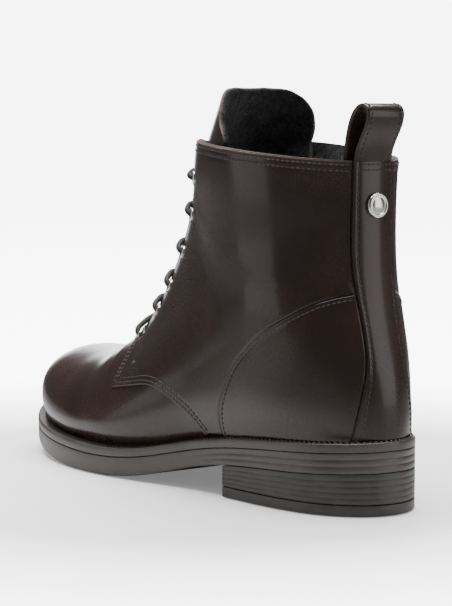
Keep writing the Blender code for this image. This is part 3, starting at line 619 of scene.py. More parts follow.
# %% [markdown]
# The room round the set is dim, with one pale card behind the toe, so the leather stays dark and
# only the panels and the card shine in it. The paper behind the boot is burnt out to white, so
# rays from the camera see a plain pale backdrop instead of the room.

# %% Room and floor
BACKDROP = 7.0
world = bpy.data.worlds.new("studio")
world.use_nodes = True
room = world.node_tree
back = room.nodes["Background"]
facing = room.nodes.new("ShaderNodeVectorMath")
facing.operation = "DOT_PRODUCT"
room.links.new(room.nodes.new("ShaderNodeTexCoord").outputs["Generated"], facing.inputs[0])
facing.inputs[1].default_value = Vector((0.80, -0.58, 0.12)).normalized()
card = room.nodes.new("ShaderNodeMapRange")
card.interpolation_type = "SMOOTHSTEP"
room.links.new(facing.outputs["Value"], card.inputs["Value"])
for label, value in (("From Min", 0.945), ("From Max", 0.992), ("To Min", 0.15), ("To Max", 5.0)):
    card.inputs[label].default_value = value
seen = room.nodes.new("ShaderNodeMix")
room.links.new(room.nodes.new("ShaderNodeLightPath").outputs["Is Camera Ray"], seen.inputs["Factor"])
room.links.new(card.outputs["Result"], seen.inputs["A"])
seen.inputs["B"].default_value = BACKDROP
room.links.new(seen.outputs["Result"], back.inputs["Strength"])
back.inputs["Color"].default_value = (0.985, 0.99, 1.0, 1.0)
bpy.context.scene.world = world

FLOOR_REACH, FLOOR_Z = 6, -0.0003
ground = [(x * FLOOR_REACH, y * FLOOR_REACH, FLOOR_Z) for x, y in ((-1, -1), (1, -1), (1, 1), (-1, 1))]
floor_mesh = bpy.data.meshes.new("floor")
floor_mesh.from_pydata(ground, [], [(0, 1, 2, 3)])
floor = placed("floor", floor_mesh)
floor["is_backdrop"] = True


# %% [markdown]
# ## Finishes
# Several finishes share the same effects, so each effect is a node group with its own inputs:
# leather grain with slow waves, a fibre nap, and a mottle for rubber. The groups put out a
# colour, a roughness and a height; the Principled shader stays in each material.


# %% Node helpers
def new_group(name, inputs, outputs):
    group = bpy.data.node_groups.new(name, "ShaderNodeTree")
    for label, kind, value in inputs:
        socket = group.interface.new_socket(label, in_out="INPUT", socket_type=kind)
        socket.default_value = value
    for label, kind in outputs:
        group.interface.new_socket(label, in_out="OUTPUT", socket_type=kind)
    return group, group.nodes.new("NodeGroupInput"), group.nodes.new("NodeGroupOutput")


def feed(tree, socket, value):
    """Set a plain value on a socket, or link another socket to it."""
    if isinstance(value, (int, float, tuple)):
        socket.default_value = value
    else:
        tree.links.new(value, socket)


def object_place(tree):
    return tree.nodes.new("ShaderNodeTexCoord").outputs["Object"]


def noise(tree, place, scale, detail=3.0, roughness=0.55, kind="ShaderNodeTexNoise"):
    made = tree.nodes.new(kind)
    made.inputs["Scale"].default_value = scale
    if "Detail" in made.inputs:
        made.inputs["Detail"].default_value = detail
        made.inputs["Roughness"].default_value = roughness
    tree.links.new(place, made.inputs["Vector"])
    return made


def arithmetic(tree, how, a, b):
    made = tree.nodes.new("ShaderNodeMath")
    made.operation = how
    for socket, value in zip(made.inputs, (a, b)):
        feed(tree, socket, value)
    return made.outputs["Value"]


def mixed(tree, share, a, b):
    made = tree.nodes.new("ShaderNodeMix")
    made.data_type = "RGBA"
    for label, value in (("Factor", share), ("A", a), ("B", b)):
        feed(tree, made.inputs[label], value)
    return made.outputs["Result"]


def ranged(tree, value, low, high, to_low, to_high):
    made = tree.nodes.new("ShaderNodeMapRange")
    for label, number in (("From Min", low), ("From Max", high), ("To Min", to_low), ("To Max", to_high)):
        made.inputs[label].default_value = number
    tree.links.new(value, made.inputs["Value"])
    return made.outputs["Result"]


# %% Group: leather grain
COLOUR, FLOAT = "NodeSocketColor", "NodeSocketFloat"
grain_group, g_in, g_out = new_group("leather_grain", [
    ("Colour", COLOUR, (0.02, 0.013, 0.011, 1)), ("Tint", COLOUR, (0.035, 0.018, 0.013, 1)),
    ("Roughness", FLOAT, 0.34), ("Grain", FLOAT, 0.3), ("Waves", FLOAT, 1.0)],
    [("Colour", COLOUR), ("Roughness", FLOAT), ("Height", FLOAT)])
t = grain_group
place = object_place(t)
patchy = noise(t, place, 26.0, 2.0).outputs["Fac"]
pores = noise(t, place, 900.0, 2.0, kind="ShaderNodeTexVoronoi").outputs["Distance"]
fine = noise(t, place, 2600.0, 3.0).outputs["Fac"]
slow = noise(t, place, 18.0, 1.0).outputs["Fac"]
t.links.new(mixed(t, ranged(t, patchy, 0.35, 0.7, 0.0, 0.8), g_in.outputs["Colour"], g_in.outputs["Tint"]),
            g_out.inputs["Colour"])
scuffed = arithmetic(t, "MULTIPLY", ranged(t, fine, 0.3, 0.7, -1.0, 1.0), 0.05)
broad = arithmetic(t, "MULTIPLY", ranged(t, patchy, 0.3, 0.7, -1.0, 1.0), 0.05)
t.links.new(arithmetic(t, "ADD", g_in.outputs["Roughness"], arithmetic(t, "ADD", scuffed, broad)),
            g_out.inputs["Roughness"])
small = arithmetic(t, "MULTIPLY", arithmetic(t, "ADD", pores, arithmetic(t, "MULTIPLY", fine, 0.6)),
                   g_in.outputs["Grain"])
big = arithmetic(t, "MULTIPLY", slow, arithmetic(t, "MULTIPLY", g_in.outputs["Waves"], 8.0))
t.links.new(arithmetic(t, "ADD", small, big), g_out.inputs["Height"])

# %% Group: nap of fleece and cut edges
nap_group, g_in, g_out = new_group("fibre_nap", [
    ("Dark", COLOUR, (0.004, 0.004, 0.004, 1)), ("Light", COLOUR, (0.03, 0.03, 0.03, 1)),
    ("Size", FLOAT, 900.0)], [("Colour", COLOUR), ("Height", FLOAT)])
t = nap_group
place = object_place(t)
tufts = noise(t, place, 400.0, 4.0, 0.7)
t.links.new(g_in.outputs["Size"], tufts.inputs["Scale"])
clumps = noise(t, place, 140.0, 2.0).outputs["Fac"]
both = arithmetic(t, "MULTIPLY", tufts.outputs["Fac"], ranged(t, clumps, 0.2, 0.8, 0.6, 1.4))
t.links.new(mixed(t, ranged(t, both, 0.35, 0.75, 0.0, 1.0), g_in.outputs["Dark"], g_in.outputs["Light"]),
            g_out.inputs["Colour"])
t.links.new(both, g_out.inputs["Height"])

# %% Group: mottle of rubber and metal
mottle_group, g_in, g_out = new_group("mottle", [
    ("Colour", COLOUR, (0.03, 0.025, 0.023, 1)), ("Worn", COLOUR, (0.05, 0.043, 0.04, 1)),
    ("Roughness", FLOAT, 0.45), ("Spread", FLOAT, 0.1), ("Size", FLOAT, 60.0)],
    [("Colour", COLOUR), ("Roughness", FLOAT), ("Height", FLOAT)])
t = mottle_group
place = object_place(t)
cloud = noise(t, place, 60.0, 4.0, 0.6)
t.links.new(g_in.outputs["Size"], cloud.inputs["Scale"])
speck = noise(t, place, 1800.0, 2.0).outputs["Fac"]
t.links.new(mixed(t, ranged(t, cloud.outputs["Fac"], 0.35, 0.7, 0.0, 1.0), g_in.outputs["Colour"],
                  g_in.outputs["Worn"]), g_out.inputs["Colour"])
uneven = ranged(t, cloud.outputs["Fac"], 0.3, 0.7, -1.0, 1.0)
shift = arithmetic(t, "MULTIPLY", uneven, g_in.outputs["Spread"])
t.links.new(arithmetic(t, "ADD", g_in.outputs["Roughness"], shift), g_out.inputs["Roughness"])
t.links.new(speck, g_out.inputs["Height"])


# %% Finish maker
def finish_of(name, group, values, bump, constants, outputs=("Colour", "Roughness")):
    """Material with one effect group in front of its Principled shader."""
    made = bpy.data.materials.new(name)
    made.use_nodes = True
    tree = made.node_tree
    shader = tree.nodes["Principled BSDF"]
    for label, value in constants.items():
        shader.inputs[label].default_value = value
    effect = tree.nodes.new("ShaderNodeGroup")
    effect.node_tree = group
    for label, value in values.items():
        effect.inputs[label].default_value = value
    for label, socket in (("Colour", "Base Color"), ("Roughness", "Roughness")):
        if label in outputs:
            tree.links.new(effect.outputs[label], shader.inputs[socket])
    if bump:
        relief = tree.nodes.new("ShaderNodeBump")
        relief.inputs["Strength"].default_value = bump[0]
        relief.inputs["Distance"].default_value = bump[1]
        tree.links.new(effect.outputs["Height"], relief.inputs["Height"])
        tree.links.new(relief.outputs["Normal"], shader.inputs["Normal"])
    return made


# %% Leather
def leather(name, roughness=0.25, grain=0.12, waves=1.0, tint=(0.026, 0.0125, 0.0095, 1)):
    return finish_of(name, grain_group, {
        "Colour": (0.0155, 0.0085, 0.0072, 1), "Tint": tint, "Roughness": roughness,
        "Grain": grain, "Waves": waves}, (0.35, 0.0001),
        {"Coat Weight": 0.2, "Coat Roughness": 0.1, "Specular IOR Level": 0.3})


calf = leather("smooth_calf")
strap_calf = leather("strap_calf", 0.30, 0.2, 0.5)


# %% Cloth, thread and cut edges
def napped(name, dark, light, size, bump, roughness, sheen=None):
    """Cloth, thread or a cut edge."""
    values = {"Dark": (*dark, 1), "Light": (*light, 1), "Size": size}
    constants = {"Roughness": roughness, **(sheen or {})}
    return finish_of(name, nap_group, values, bump, constants, ("Colour",))


raw_edge = napped("raw_edge", (0.045, 0.018, 0.011), (0.14, 0.07, 0.045), 1500.0, (0.5, 0.0002), 0.8)
inked_edge = napped("inked_edge", (0.004, 0.003, 0.0025), (0.012, 0.008, 0.007), 1500.0, (0.4, 0.0001),
                    0.6)
fleece = napped("black_fleece", (0.004, 0.004, 0.0042), (0.045, 0.045, 0.045), 520.0, (1.0, 0.0015), 0.95,
                {"Sheen Weight": 0.25, "Sheen Roughness": 0.5})
thread = napped("seam_thread", (0.012, 0.009, 0.008), (0.045, 0.034, 0.03), 3000.0, (0.4, 0.0001), 0.55)
tape_cloth = napped("zip_tape_cloth", (0.005, 0.004, 0.004), (0.022, 0.018, 0.016), 1400.0,
                    (0.8, 0.0003), 0.85)
lace_cloth = napped("lace_cord", (0.004, 0.003, 0.0027), (0.018, 0.0135, 0.0115), 2000.0,
                    (0.6, 0.0002), 0.7)


# %% Rubber and metal
def mottled(name, colour, worn, roughness, spread, size, bump, constants):
    """Rubber, metal or paint."""
    values = {"Colour": (*colour, 1), "Worn": (*worn, 1), "Roughness": roughness,
              "Spread": spread, "Size": size}
    return finish_of(name, mottle_group, values, bump, constants)


sole_rubber = mottled("sole_edge", (0.034, 0.027, 0.0235), (0.053, 0.0435, 0.039), 0.42, 0.07, 60.0,
                      (0.25, 0.00008), {"Specular IOR Level": 0.5})
heel_rubber = mottled("heel_stack", (0.021, 0.0185, 0.017), (0.038, 0.0335, 0.031), 0.48, 0.08, 90.0,
                      (0.6, 0.0002), {"Specular IOR Level": 0.5})
nickel = mottled("bright_nickel", (0.72, 0.70, 0.67), (0.62, 0.60, 0.57), 0.2, 0.05, 300.0,
                 (0.1, 0.00003), {"Metallic": 1.0})
zip_nickel = mottled("zip_nickel", (0.5, 0.48, 0.45), (0.38, 0.36, 0.33), 0.3, 0.08, 300.0,
                     (0.15, 0.00003), {"Metallic": 1.0})

# %% [markdown]
# The paper floor fades to the burnt-out backdrop away from the boot: it glows for the camera there.
# In reflections it has painted shade, light near the boot and deep away from it, so the leather above it
# keeps its depth.

# %% Floor paint, with painted shade in reflections
PAPER_WHITE = (0.985, 0.99, 1.0, 1)
floor_paper_and_reflection_shade = mottled("floor_paper_and_reflection_shade", (0.86, 0.865, 0.87), (0.84, 0.845, 0.85), 0.55, 0.03, 2.0,
                      None, {"Specular IOR Level": 0.25})
tree = floor_paper_and_reflection_shade.node_tree
shader, paint = tree.nodes["Principled BSDF"], tree.nodes["Group"]
rays = tree.nodes.new("ShaderNodeLightPath").outputs
reach = tree.nodes.new("ShaderNodeVectorMath")
reach.operation = "LENGTH"
tree.links.new(object_place(tree), reach.inputs[0])
away = ranged(tree, reach.outputs["Value"], 0.15, 0.36, 0.0, 1.0)
# Painted shade: reflections see the floor darker than its paint, a little near the boot and much more away
# from it.
reflected_floor_shade = mixed(tree, away, (0.62, 0.62, 0.62, 1), (0.2, 0.2, 0.2, 1))
paper_and_reflection_shade = mixed(tree, rays["Is Glossy Ray"], paint.outputs["Colour"], reflected_floor_shade)
tree.links.new(paper_and_reflection_shade, shader.inputs["Base Color"])
glow = arithmetic(tree, "MULTIPLY", arithmetic(tree, "MAXIMUM", away, 0.03), rays["Is Camera Ray"])
tree.links.new(mixed(tree, glow, (0, 0, 0, 1), PAPER_WHITE), shader.inputs["Emission Color"])
shader.inputs["Emission Strength"].default_value = BACKDROP
floor.data.materials.append(floor_paper_and_reflection_shade)
print("materials:", len(bpy.data.materials))

# %% [markdown]
# ## Upper
# On the real boot the vamp and the lining are pulled over the last and lasted under the insole.
# The shell is one closed solid: leather outside, fleece inside, open at the collar and throat.

# %% Upper shell
VAMP_DROP = 1.15
LINING = 2.75
SHELL_ROWS = np.concatenate([np.linspace(0, 1, 22) ** 1.6, np.arange(1.08, 7.15, 0.09), [THROAT_ROW],
                             7.2 + 0.3 * np.linspace(0, 1, 8)[1:] ** 2, np.arange(7.62, 11.3, 0.12),
                             np.linspace(11.35, 12, 12), np.arange(12.12, 15.95, 0.12), [COLLAR_ROW]])
REAR_SHARE = 1 - np.cos(np.linspace(0, 1, 20) * np.pi / 2)
FRONT_SHARE = np.linspace(0, 1, 26)[1:]


def shell_row(row, side, drop):
    phi = np.concatenate([REAR_SHARE, 1 + FRONT_SHARE * (float(facing_phi(row, side)) - 1)])
    rise = np.full(len(phi), -drop)
    spots, _ = skin(row, phi, side, rise)
    if row <= COUNTER_ROW:
        spots[0, 2] = welt_top(spots[0, 0]) + 0.1
    return spots


def shell_sheet(depth):
    """Both sides at a depth, sharing the front line below the throat and the back line."""
    outer, inner = ([shell_row(row, side, depth(row)) for row in SHELL_ROWS] for side in (1, -1))
    for a, b, row in zip(outer, inner, SHELL_ROWS):
        if row <= THROAT_ROW:
            a[-1] = b[-1] = (a[-1] + b[-1]) / 2
        if row >= COUNTER_ROW:
            a[0] = b[0] = (a[0] + b[0]) / 2 * (1, 0, 1)
    return np.array(outer), np.array(inner)


def vamp_depth(row):
    return VAMP_DROP * smooth((row - 4.8) / 1.7)


def lining_depth(row):
    return vamp_depth(row) + 2.2 + (LINING - 2.2) * smooth((row - 5) / 2)


outside, within = shell_sheet(vamp_depth), shell_sheet(lining_depth)
points, faces, kinds = [], [], []
for half in (0, 1):
    p, f, k = slab(outside[half], within[half])
    faces.append(f + sum(map(len, points)))
    points.append(p)
    kinds.append(k)
points, faces, kinds = np.vstack(points), np.vstack(faces), np.concatenate(kinds)
keyed = np.round(points[faces].mean(1), 3)
_, first, twice = np.unique(keyed, axis=0, return_inverse=True, return_counts=True)[0:3]
single = twice[first.ravel()] == 1
upper_shell = build("upper_shell", points, faces[single], [calf, fleece, fleece], kinds[single])
dress(upper_shell, "leather", "upper")
print("upper shell faces:", len(upper_shell.data.polygons))

# %% [markdown]
# ## Quarters, counters and back strip
# Each panel is a patch between its seams. Its face is rounded over at the cut edge, and a shallow
# groove is pressed where the thread pulls the leather in. The inner quarter has the zip slot.

# %% Seam lines on the last
PANEL_TOP, PANEL_BACK = 0.1, -1.1
COUNTER_TOP, STRIP_TOP = 0.55, 0.95
FOOT_PHI = 0.012


def seam_places(table, side, guess):
    """A side-view seam as places on the last, from just above the welt."""
    line = drawn(table, 320)
    line = line[line[:, 1] > welt_top(np.clip(line[:, 0], 0, 260)) + SEAT + 0.4]
    return find(line[:, 0], line[:, 1], side, guess)


def counter_line(side):
    """Counter seam from the welt up to the back strip."""
    places = seam_places([p for p in COUNTER_SEAM if p[0] > 0], side, (11.0, 0.5))
    spots = on_last(places, side)
    clear = np.abs(spots[:, 1]) > strip_half(spots[:, 2])
    end = int(np.argmin(clear)) if not clear.all() else len(clear)
    return places[:end]


def back_view(y, z, side):
    """Places on the last of points given in back view."""
    rows = np.interp(z, (31.5, 56.6, 86.8, 116.0, 146.0), range(12, 17))
    return find(y, z, side, np.stack([rows, 0.02 + 0.012 * np.abs(y)], -1), (1, 2))


def strip_line(side):
    """Edge of the back strip from the welt to the collar."""
    z = np.linspace(31.8, 145.9, 260)
    return back_view(side * strip_half(z), z, side)


def front_line(side):
    """Front edge of a quarter, where its tab and facing begin, and the corner's share of its length."""
    tab = seam_places(TAB_EDGE, side, (7.4, 1.2))[::-1]
    derby = np.vstack([seam_places(DERBY_SEAM, side, (7.8, 0.9))[::-1], tab[1:]])
    rows = np.linspace(7.35, COLLAR_ROW, 240)
    facing = np.stack([rows, facing_phi(rows, side)], -1)
    apart = np.linalg.norm(on_last(derby, side)[:, None] - on_last(facing, side)[None], axis=-1)
    i, j = np.unravel_index(np.argmin(apart), apart.shape)
    line = np.vstack([derby[:i], facing[j:]])
    run = np.cumsum(np.linalg.norm(np.diff(on_last(line, side), axis=0), axis=1))
    turn = len(derby) - len(tab)
    return line, (turn, int(i)), float(run[turn - 1] / run[-1])


# %% Lines of both sides
lines = {}
for side in (1, -1):
    counter, edge = counter_line(side), strip_line(side)
    apart = np.linalg.norm(on_last(edge, side) - on_last(counter[-1:], side), axis=1)
    meet = int(np.argmin(apart))
    front, turns, corner = front_line(side)
    lines[side] = {"counter": counter, "upright": edge[:meet + 1], "front": front, "corner": corner,
                   "parts": np.split(front, turns), "rear": np.vstack([counter, edge[meet + 2:]])}
    print("side", side, "counter meets the strip at row", round(float(counter[-1, 0]), 2))


# %% Panel maker
def rounded(distance, radius):
    """How far the face drops towards a cut edge."""
    inside = np.clip(radius - distance, 0, radius)
    return radius - np.sqrt(np.maximum(radius ** 2 - inside ** 2, 0))


def groove(distance, at, depth=0.16, width=0.42):
    return depth * np.exp(-((distance - at) / width) ** 2)


def panel(name, side, places, top, back, cut, stitched, beside, raw=(), radius=0.42):
    """Leather panel: rounded at cut lines, pressed along stitches and beside overlying edges."""
    shades = [calf, calf, inked_edge, raw_edge]
    base = on_last(places, side)
    spot, normal = skin(places[..., 0], places[..., 1], side, np.zeros(places.shape[:2]))
    rise = top - rounded(nearness(base, cut), radius)
    for line in stitched:
        rise = rise - groove(nearness(base, [line]), 0.0)
    if beside:
        rise = rise - groove(nearness(base, beside), 0.3, 0.55, 0.42)
    points, faces, kinds = slab(spot + normal * rise[..., None], spot + normal * back)
    made = build(name, points, faces, shades, kinds)
    if raw:
        middle = np.array([polygon.center for polygon in made.data.polygons]) / MM + CENTRE
        kinds = np.array([polygon.material_index for polygon in made.data.polygons])
        near = nearness(middle, raw)
        kinds = np.where((near < 1.3) & (kinds == 2) | (near < 0.5), 3, kinds)
        made.data.polygons.foreach_set("material_index", kinds.astype(np.int32))
    return made


stitch_runs = []


def sewn(places, side, rise):
    """Remember a line of stitches, and give its points on the last."""
    stitch_runs.append(skin(places[:, 0], places[:, 1], side, np.full(len(places), rise)))
    return on_last(places, side)


def rows_beside(parts, side, distance):
    """Stitch rows beside each part of an edge, each cut off where the next part's row begins."""
    rows = []
    for part in parts:
        row = inset(part, side, -distance * side, even=True)
        others = [on_last(other, side) for other in parts if other is not part]
        clear = np.flatnonzero(nearness(on_last(row, side), others) > distance - 0.12)
        longest = max(np.split(clear, np.flatnonzero(np.diff(clear) > 1) + 1), key=len)
        rows.append(row[longest])
    return rows


# %% Quarters
ZIP_HALF = 4.6
TUCK = 1.4
SINK = 0.02
EDGE_STITCHES, COLLAR_STITCHES, ZIP_STITCHES = (1.8, 3.9), (1.8, 4.3), 1.9
ACROSS_LENGTH, EDGE_LENGTH = 105.0, 205.0
FAN_REACH = 2.86
# Pairs of shares: along the front edge, and along the rear edge that it is joined to.
QUARTER_FAN = [(0.0, 0.0), (0.12, 0.084), ("corner", 0.25), (0.46, 0.277), (0.60, 0.346), (0.70, 0.449),
               (0.78, 0.501), (0.85, 0.513), (0.92, 0.851), (1.0, 1.0)]


def ribbon(line, half, open_top=False):
    """Outline of a band along a side-view line, or its sides and rounded foot."""
    line = drawn(line, 60)
    way = unit(np.gradient(line, axis=0))
    aside = np.stack([-way[:, 1], way[:, 0]], -1) * half
    turn = np.linspace(0, np.pi, 12)[1:-1, None]
    foot = line[-1] + aside[-1] * np.cos(turn) + way[-1] * half * np.sin(turn)
    return np.vstack([line + aside, foot if open_top else foot[:0], (line - aside)[::-1]])


for side, word in SIDES:
    rear, front = lines[side]["rear"], lines[side]["front"]
    tuck = inset(rear, side, -TUCK * side)
    collar = np.stack([np.full(200, float(COLLAR_ROW)), np.linspace(tuck[-1, 1], front[-1, 1], 200)], -1)
    cut = [on_last(front, side), on_last(collar, side)]
    stitched = []
    derby, tab, facing = lines[side]["parts"]
    for distance in EDGE_STITCHES:
        for row in rows_beside([derby[4:], tab, facing[:-14]], side, distance):
            stitched.append(sewn(row, side, PANEL_TOP - SINK))
    for distance in COLLAR_STITCHES:
        stitched.append(sewn(inset(collar, side, distance * side)[6:-10], side, PANEL_TOP - SINK))
    if side < 0:
        around = find(*ribbon(ZIP_LINE, ZIP_HALF + ZIP_STITCHES, True).T, side, (14.0, 0.8))
        stitched.append(sewn(around[around[:, 0] < COLLAR_ROW - 0.35], side, PANEL_TOP - SINK))
    u, v = shares(ACROSS_LENGTH, 1.6), shares(EDGE_LENGTH, 1.7)
    near = np.array([0, 0.15, 0.4, 0.8, 1.4]) / EDGE_LENGTH
    v = np.unique(np.concatenate([v, lines[side]["corner"] + near, lines[side]["corner"] - near]))
    pairs = [(lines[side]["corner"] if f == "corner" else f, r) for f, r in QUARTER_FAN]
    grid = fan(tuck, front, side, pairs, FAN_REACH, u, v)
    quarter = panel(f"quarter_{word}_leather", side, grid, PANEL_TOP, PANEL_BACK, cut, stitched,
                    [on_last(rear, side)], cut[1:])
    dress(quarter, "leather", f"quarter_{word}")
    print(quarter.name, len(quarter.data.polygons))

# %% Counters
COUNTER_BACK = -0.6
for side, word in SIDES:
    seam = lines[side]["counter"]
    upright = inset(lines[side]["upright"], side, -TUCK * side)
    upright[0, 1] = FOOT_PHI
    base = np.stack([np.linspace(seam[0, 0], upright[0, 0], 80), np.full(80, FOOT_PHI)], -1)
    top_line = np.vstack([seam, upright[-1:]])
    u, v = shares(95.0, 1.6), shares(62.0, 1.6)
    grid = patch(along(base, side), along(top_line, side), straight(base[0], top_line[0]),
                 along(upright, side), u, v)
    stitched = [sewn(inset(seam[3:], side, -EDGE_STITCHES[0] * side), side, COUNTER_TOP - SINK)]
    counter = panel(f"counter_{word}_leather", side, grid, COUNTER_TOP, COUNTER_BACK, [on_last(seam, side)],
                    stitched, [on_last(lines[side]["upright"], side)])
    dress(counter, "leather", f"counter_{word}")
    print(counter.name, len(counter.data.polygons))

# %% [markdown]
# The back strip covers the seam at the heel. It is one grid across the back, finer at both edges,
# so that its rims can be rounded and its two rows of stitches pressed in.

# %% Back strip
STRIP_MEAN_HALF, STRIP_BACK, STRAP_STITCHES = 10.0, -0.9, 1.7
STRIP_RIM = (0.005, 0.014, 0.028, 0.045, 0.075, 0.11, 0.15, 0.18, 0.21, 0.26)
strip_heights = np.concatenate([[31.75, 32.1, 32.6], np.linspace(33.4, 145.9, 96)])
across = shares(2.0, 0.09, STRIP_RIM) * 2 - 1


def strip_places(side, share):
    """Places of a grid across the back, given by height and share of the half-width."""
    z = np.repeat(strip_heights, len(share))
    y = side * strip_half(z) * np.tile(np.maximum(share, 0.004), len(strip_heights))
    return back_view(y, z, side).reshape(len(strip_heights), len(share), 2)


def strip_sheet(rise):
    """Both halves of the strip at a rise over the last."""
    halves = []
    for side in (-1, 1):
        share = np.abs(across[across < 0] if side < 0 else across[across >= 0])
        spots = strip_places(side, share)
        halves.append(skin(spots[..., 0], spots[..., 1], side, rise(share) + 0 * spots[..., 0]))
    return np.hstack([halves[0][0], halves[1][0]]), np.hstack([halves[0][1], halves[1][1]])


def strip_rise(share):
    edge = (1 - share) * STRIP_MEAN_HALF
    return STRIP_TOP + 0.4 * share ** 2 - rounded(edge, 0.42) - groove(edge, STRAP_STITCHES)


strip_face, strip_ways = strip_sheet(strip_rise)
strip_back, _ = strip_sheet(lambda share: STRIP_BACK + 0 * share)
points, faces, kinds = slab(strip_face, strip_back)
strip = build("back_strip_leather", points, faces, [strap_calf, strap_calf, inked_edge], kinds)
dress(strip, "leather", "back_strip")
off_row = np.abs((1 - np.abs(across)) * STRIP_MEAN_HALF - STRAP_STITCHES)
for j in (np.argmin(off_row + 9 * (across < 0)), np.argmin(off_row + 9 * (across > 0))):
    stitch_runs.append((strip_face[2:, j] + strip_ways[2:, j] * 0.12, strip_ways[2:, j]))
print(strip.name, len(strip.data.polygons))

# %% [markdown]
# ## Pull loop
# The strip runs on above the collar, folds over and comes down inside, so a finger can pull the
# boot on. A curve with a bevel would twist; a row of cross-sections along the path stays flat.

# %% Pull loop
steps = np.linspace(0, len(LOOP) - 1, 110)
loop_x, loop_z, loop_sag = (natural(range(len(LOOP)), [row[j] for row in LOOP])(steps) for j in range(3))
run = unit(np.stack([np.gradient(loop_x), np.gradient(loop_z)], -1))
out_x, out_z = -run[:, 1], run[:, 0]
half_share = np.sin(np.linspace(-1, 1, 25) * np.pi / 2)
edge_gap = (1 - np.abs(half_share)) * LOOP_WIDTH / 2
thick = LOOP_THICKNESS / 2 - rounded(edge_gap, 0.6) - groove(edge_gap, STRAP_STITCHES)


def loop_sheet(sign):
    grid = np.zeros((len(steps), len(half_share), 3))
    for j, s in enumerate(half_share):
        grid[:, j, 0] = loop_x + loop_sag * s * s + sign * out_x * thick[j]
        grid[:, j, 1] = s * LOOP_WIDTH / 2
        grid[:, j, 2] = loop_z + sign * out_z * thick[j]
    return grid


outer_face = loop_sheet(1.0)
points, faces, kinds = slab(outer_face, loop_sheet(-1.0))
loop = build("pull_loop_leather", points, faces, [strap_calf, strap_calf, strap_calf], kinds)
dress(loop, "leather", "pull_loop")
loop_way = np.stack([out_x, 0 * out_x, out_z], -1)
SEWN_STEPS, CROSS_HEIGHTS = 78, (142.6, 145.0)
sewn_at = int(np.argmin(np.abs(edge_gap[:12] - STRAP_STITCHES)))
for j in (sewn_at, len(half_share) - 1 - sewn_at):
    stitch_runs.append((outer_face[:SEWN_STEPS, j] + loop_way[:SEWN_STEPS] * 0.1, loop_way[:SEWN_STEPS]))
for height in CROSS_HEIGHTS:
    k = int(np.argmin(np.abs(strip_heights - height)))
    inner = np.abs(across) < 0.84
    stitch_runs.append((strip_face[k, inner] + strip_ways[k, inner] * 0.12, strip_ways[k, inner]))
print(loop.name, len(loop.data.polygons))

# %% [markdown]
# ## Tongue
# The tongue is leather outside and fleece inside, cut raw, so a tan edge shows all round the top.
# Two thin sheets of the last, one behind the other, give that edge and keep each finish apart.

# %% Tongue
TONGUE_FACE, TONGUE_BACK = -4.9, -7.2
TONGUE_TOP = 4.95
rounding = np.sin(np.linspace(0, 1, 56) * np.pi / 2)[1:]
tongue_rows = np.concatenate([np.linspace(6.5, COLLAR_ROW, 60), COLLAR_ROW + TONGUE_TOP * rounding])
tongue_share = np.sin(np.linspace(-1, 1, 45) * np.pi / 2)


def tongue_sheet(rise):
    on_row = np.minimum(tongue_rows, COLLAR_ROW)[:, None]
    grid = np.zeros((len(tongue_rows), len(tongue_share), 3))
    for side in (1, -1):
        these = tongue_share * side > 0
        edge = phi_at_half(on_row, tongue_half[side](tongue_rows)[:, None], side)
        phi = 2 - (2 - edge) * np.abs(tongue_share[these])
        grid[:, these] = skin(on_row + 0 * phi, phi, side, rise + 0 * phi)[0]
    grid += TONGUE_STEP * np.maximum(tongue_rows - COLLAR_ROW, 0.0)[:, None, None]
    middle = len(tongue_share) // 2
    grid[:, middle] = (grid[:, middle - 1] + grid[:, middle + 1]) / 2
    return grid


for name, slot, shades, top, low in (
        ("tongue_leather", "leather", [calf, raw_edge, raw_edge], TONGUE_FACE, -5.8),
        ("tongue_fleece", "lining", [fleece, fleece, fleece], -5.75, TONGUE_BACK)):
    points, faces, kinds = slab(tongue_sheet(top), tongue_sheet(low))
    tongue = build(name, points, faces, shades, kinds)
    dress(tongue, slot, *(["tongue"] if slot == "leather" else []))
    print(tongue.name, len(tongue.data.polygons))


# %% [markdown]
# ## Eyelets, stud and laces
# Eyelets and the stud are turned parts, so a profile is spun about its axis. The lace is one
# round cord: it goes into each eyelet from outside and comes out under the facing below.

# %% Turned metal
def turned(name, profile, at, normal, shade, steps=40, closed=True):
    """Ring or disc spun from a profile of radius and height about a direction."""
    z = unit(np.asarray(normal, float))
    x = unit(np.cross((0.0, 0.0, 1.0), z))
    y = np.cross(z, x)
    angle = np.linspace(0, 2 * np.pi, steps, endpoint=False)
    profile = np.asarray(profile, float)
    ring = x * np.cos(angle)[:, None] + y * np.sin(angle)[:, None]
    points = np.asarray(at) + ring[:, None] * profile[None, :, :1] + z * profile[None, :, 1:]
    n = len(profile)
    faces = []
    for i in range(steps):
        for j in range(n if closed else n - 1):
            a, b = i * n + j, i * n + (j + 1) % n
            c, d = (i + 1) % steps * n + (j + 1) % n, (i + 1) % steps * n + j
            faces.append((a, b, c, d))
    return build(name, points.reshape(-1, 3), faces, [shade], weld=0.002)


bead = [(2.35 + 0.85 * math.cos(a), 0.12 + 0.68 * math.sin(a)) for a in np.linspace(-0.25, math.pi, 14)]
EYELET_PROFILE = [(1.95, -3.0), (1.95, -0.1)] + bead[:1] + bead + [(1.5, -0.5), (1.5, -3.0)]
eyelets = {}
for side, word in SIDES:
    for number, row in enumerate(EYELET_ROWS, 1):
        phi = eyelet_phi(row, side, EYELET_INSET[number - 1])
        at, normal = skin(row, phi, side, PANEL_TOP)
        ring = turned(f"eyelet_{word}_{number}_ring", EYELET_PROFILE, at, normal, nickel)
        dress(ring, "nickel", f"eyelet_{word}_{number}")
        eyelets[side, number - 1] = (row, phi)
print("eyelets:", len(eyelets))


# %% [markdown]
# The eyelets sit in real holes and the zip in a real slot, so the lace and the teeth can be seen
# through the leather. The holes could be left out of the grids, but their edges would be ragged;
# a Boolean modifier cuts them clean, and its result is kept as the mesh.

# %% Holes and zip slot
PIN, PIN_SIDES = 1.8, 24


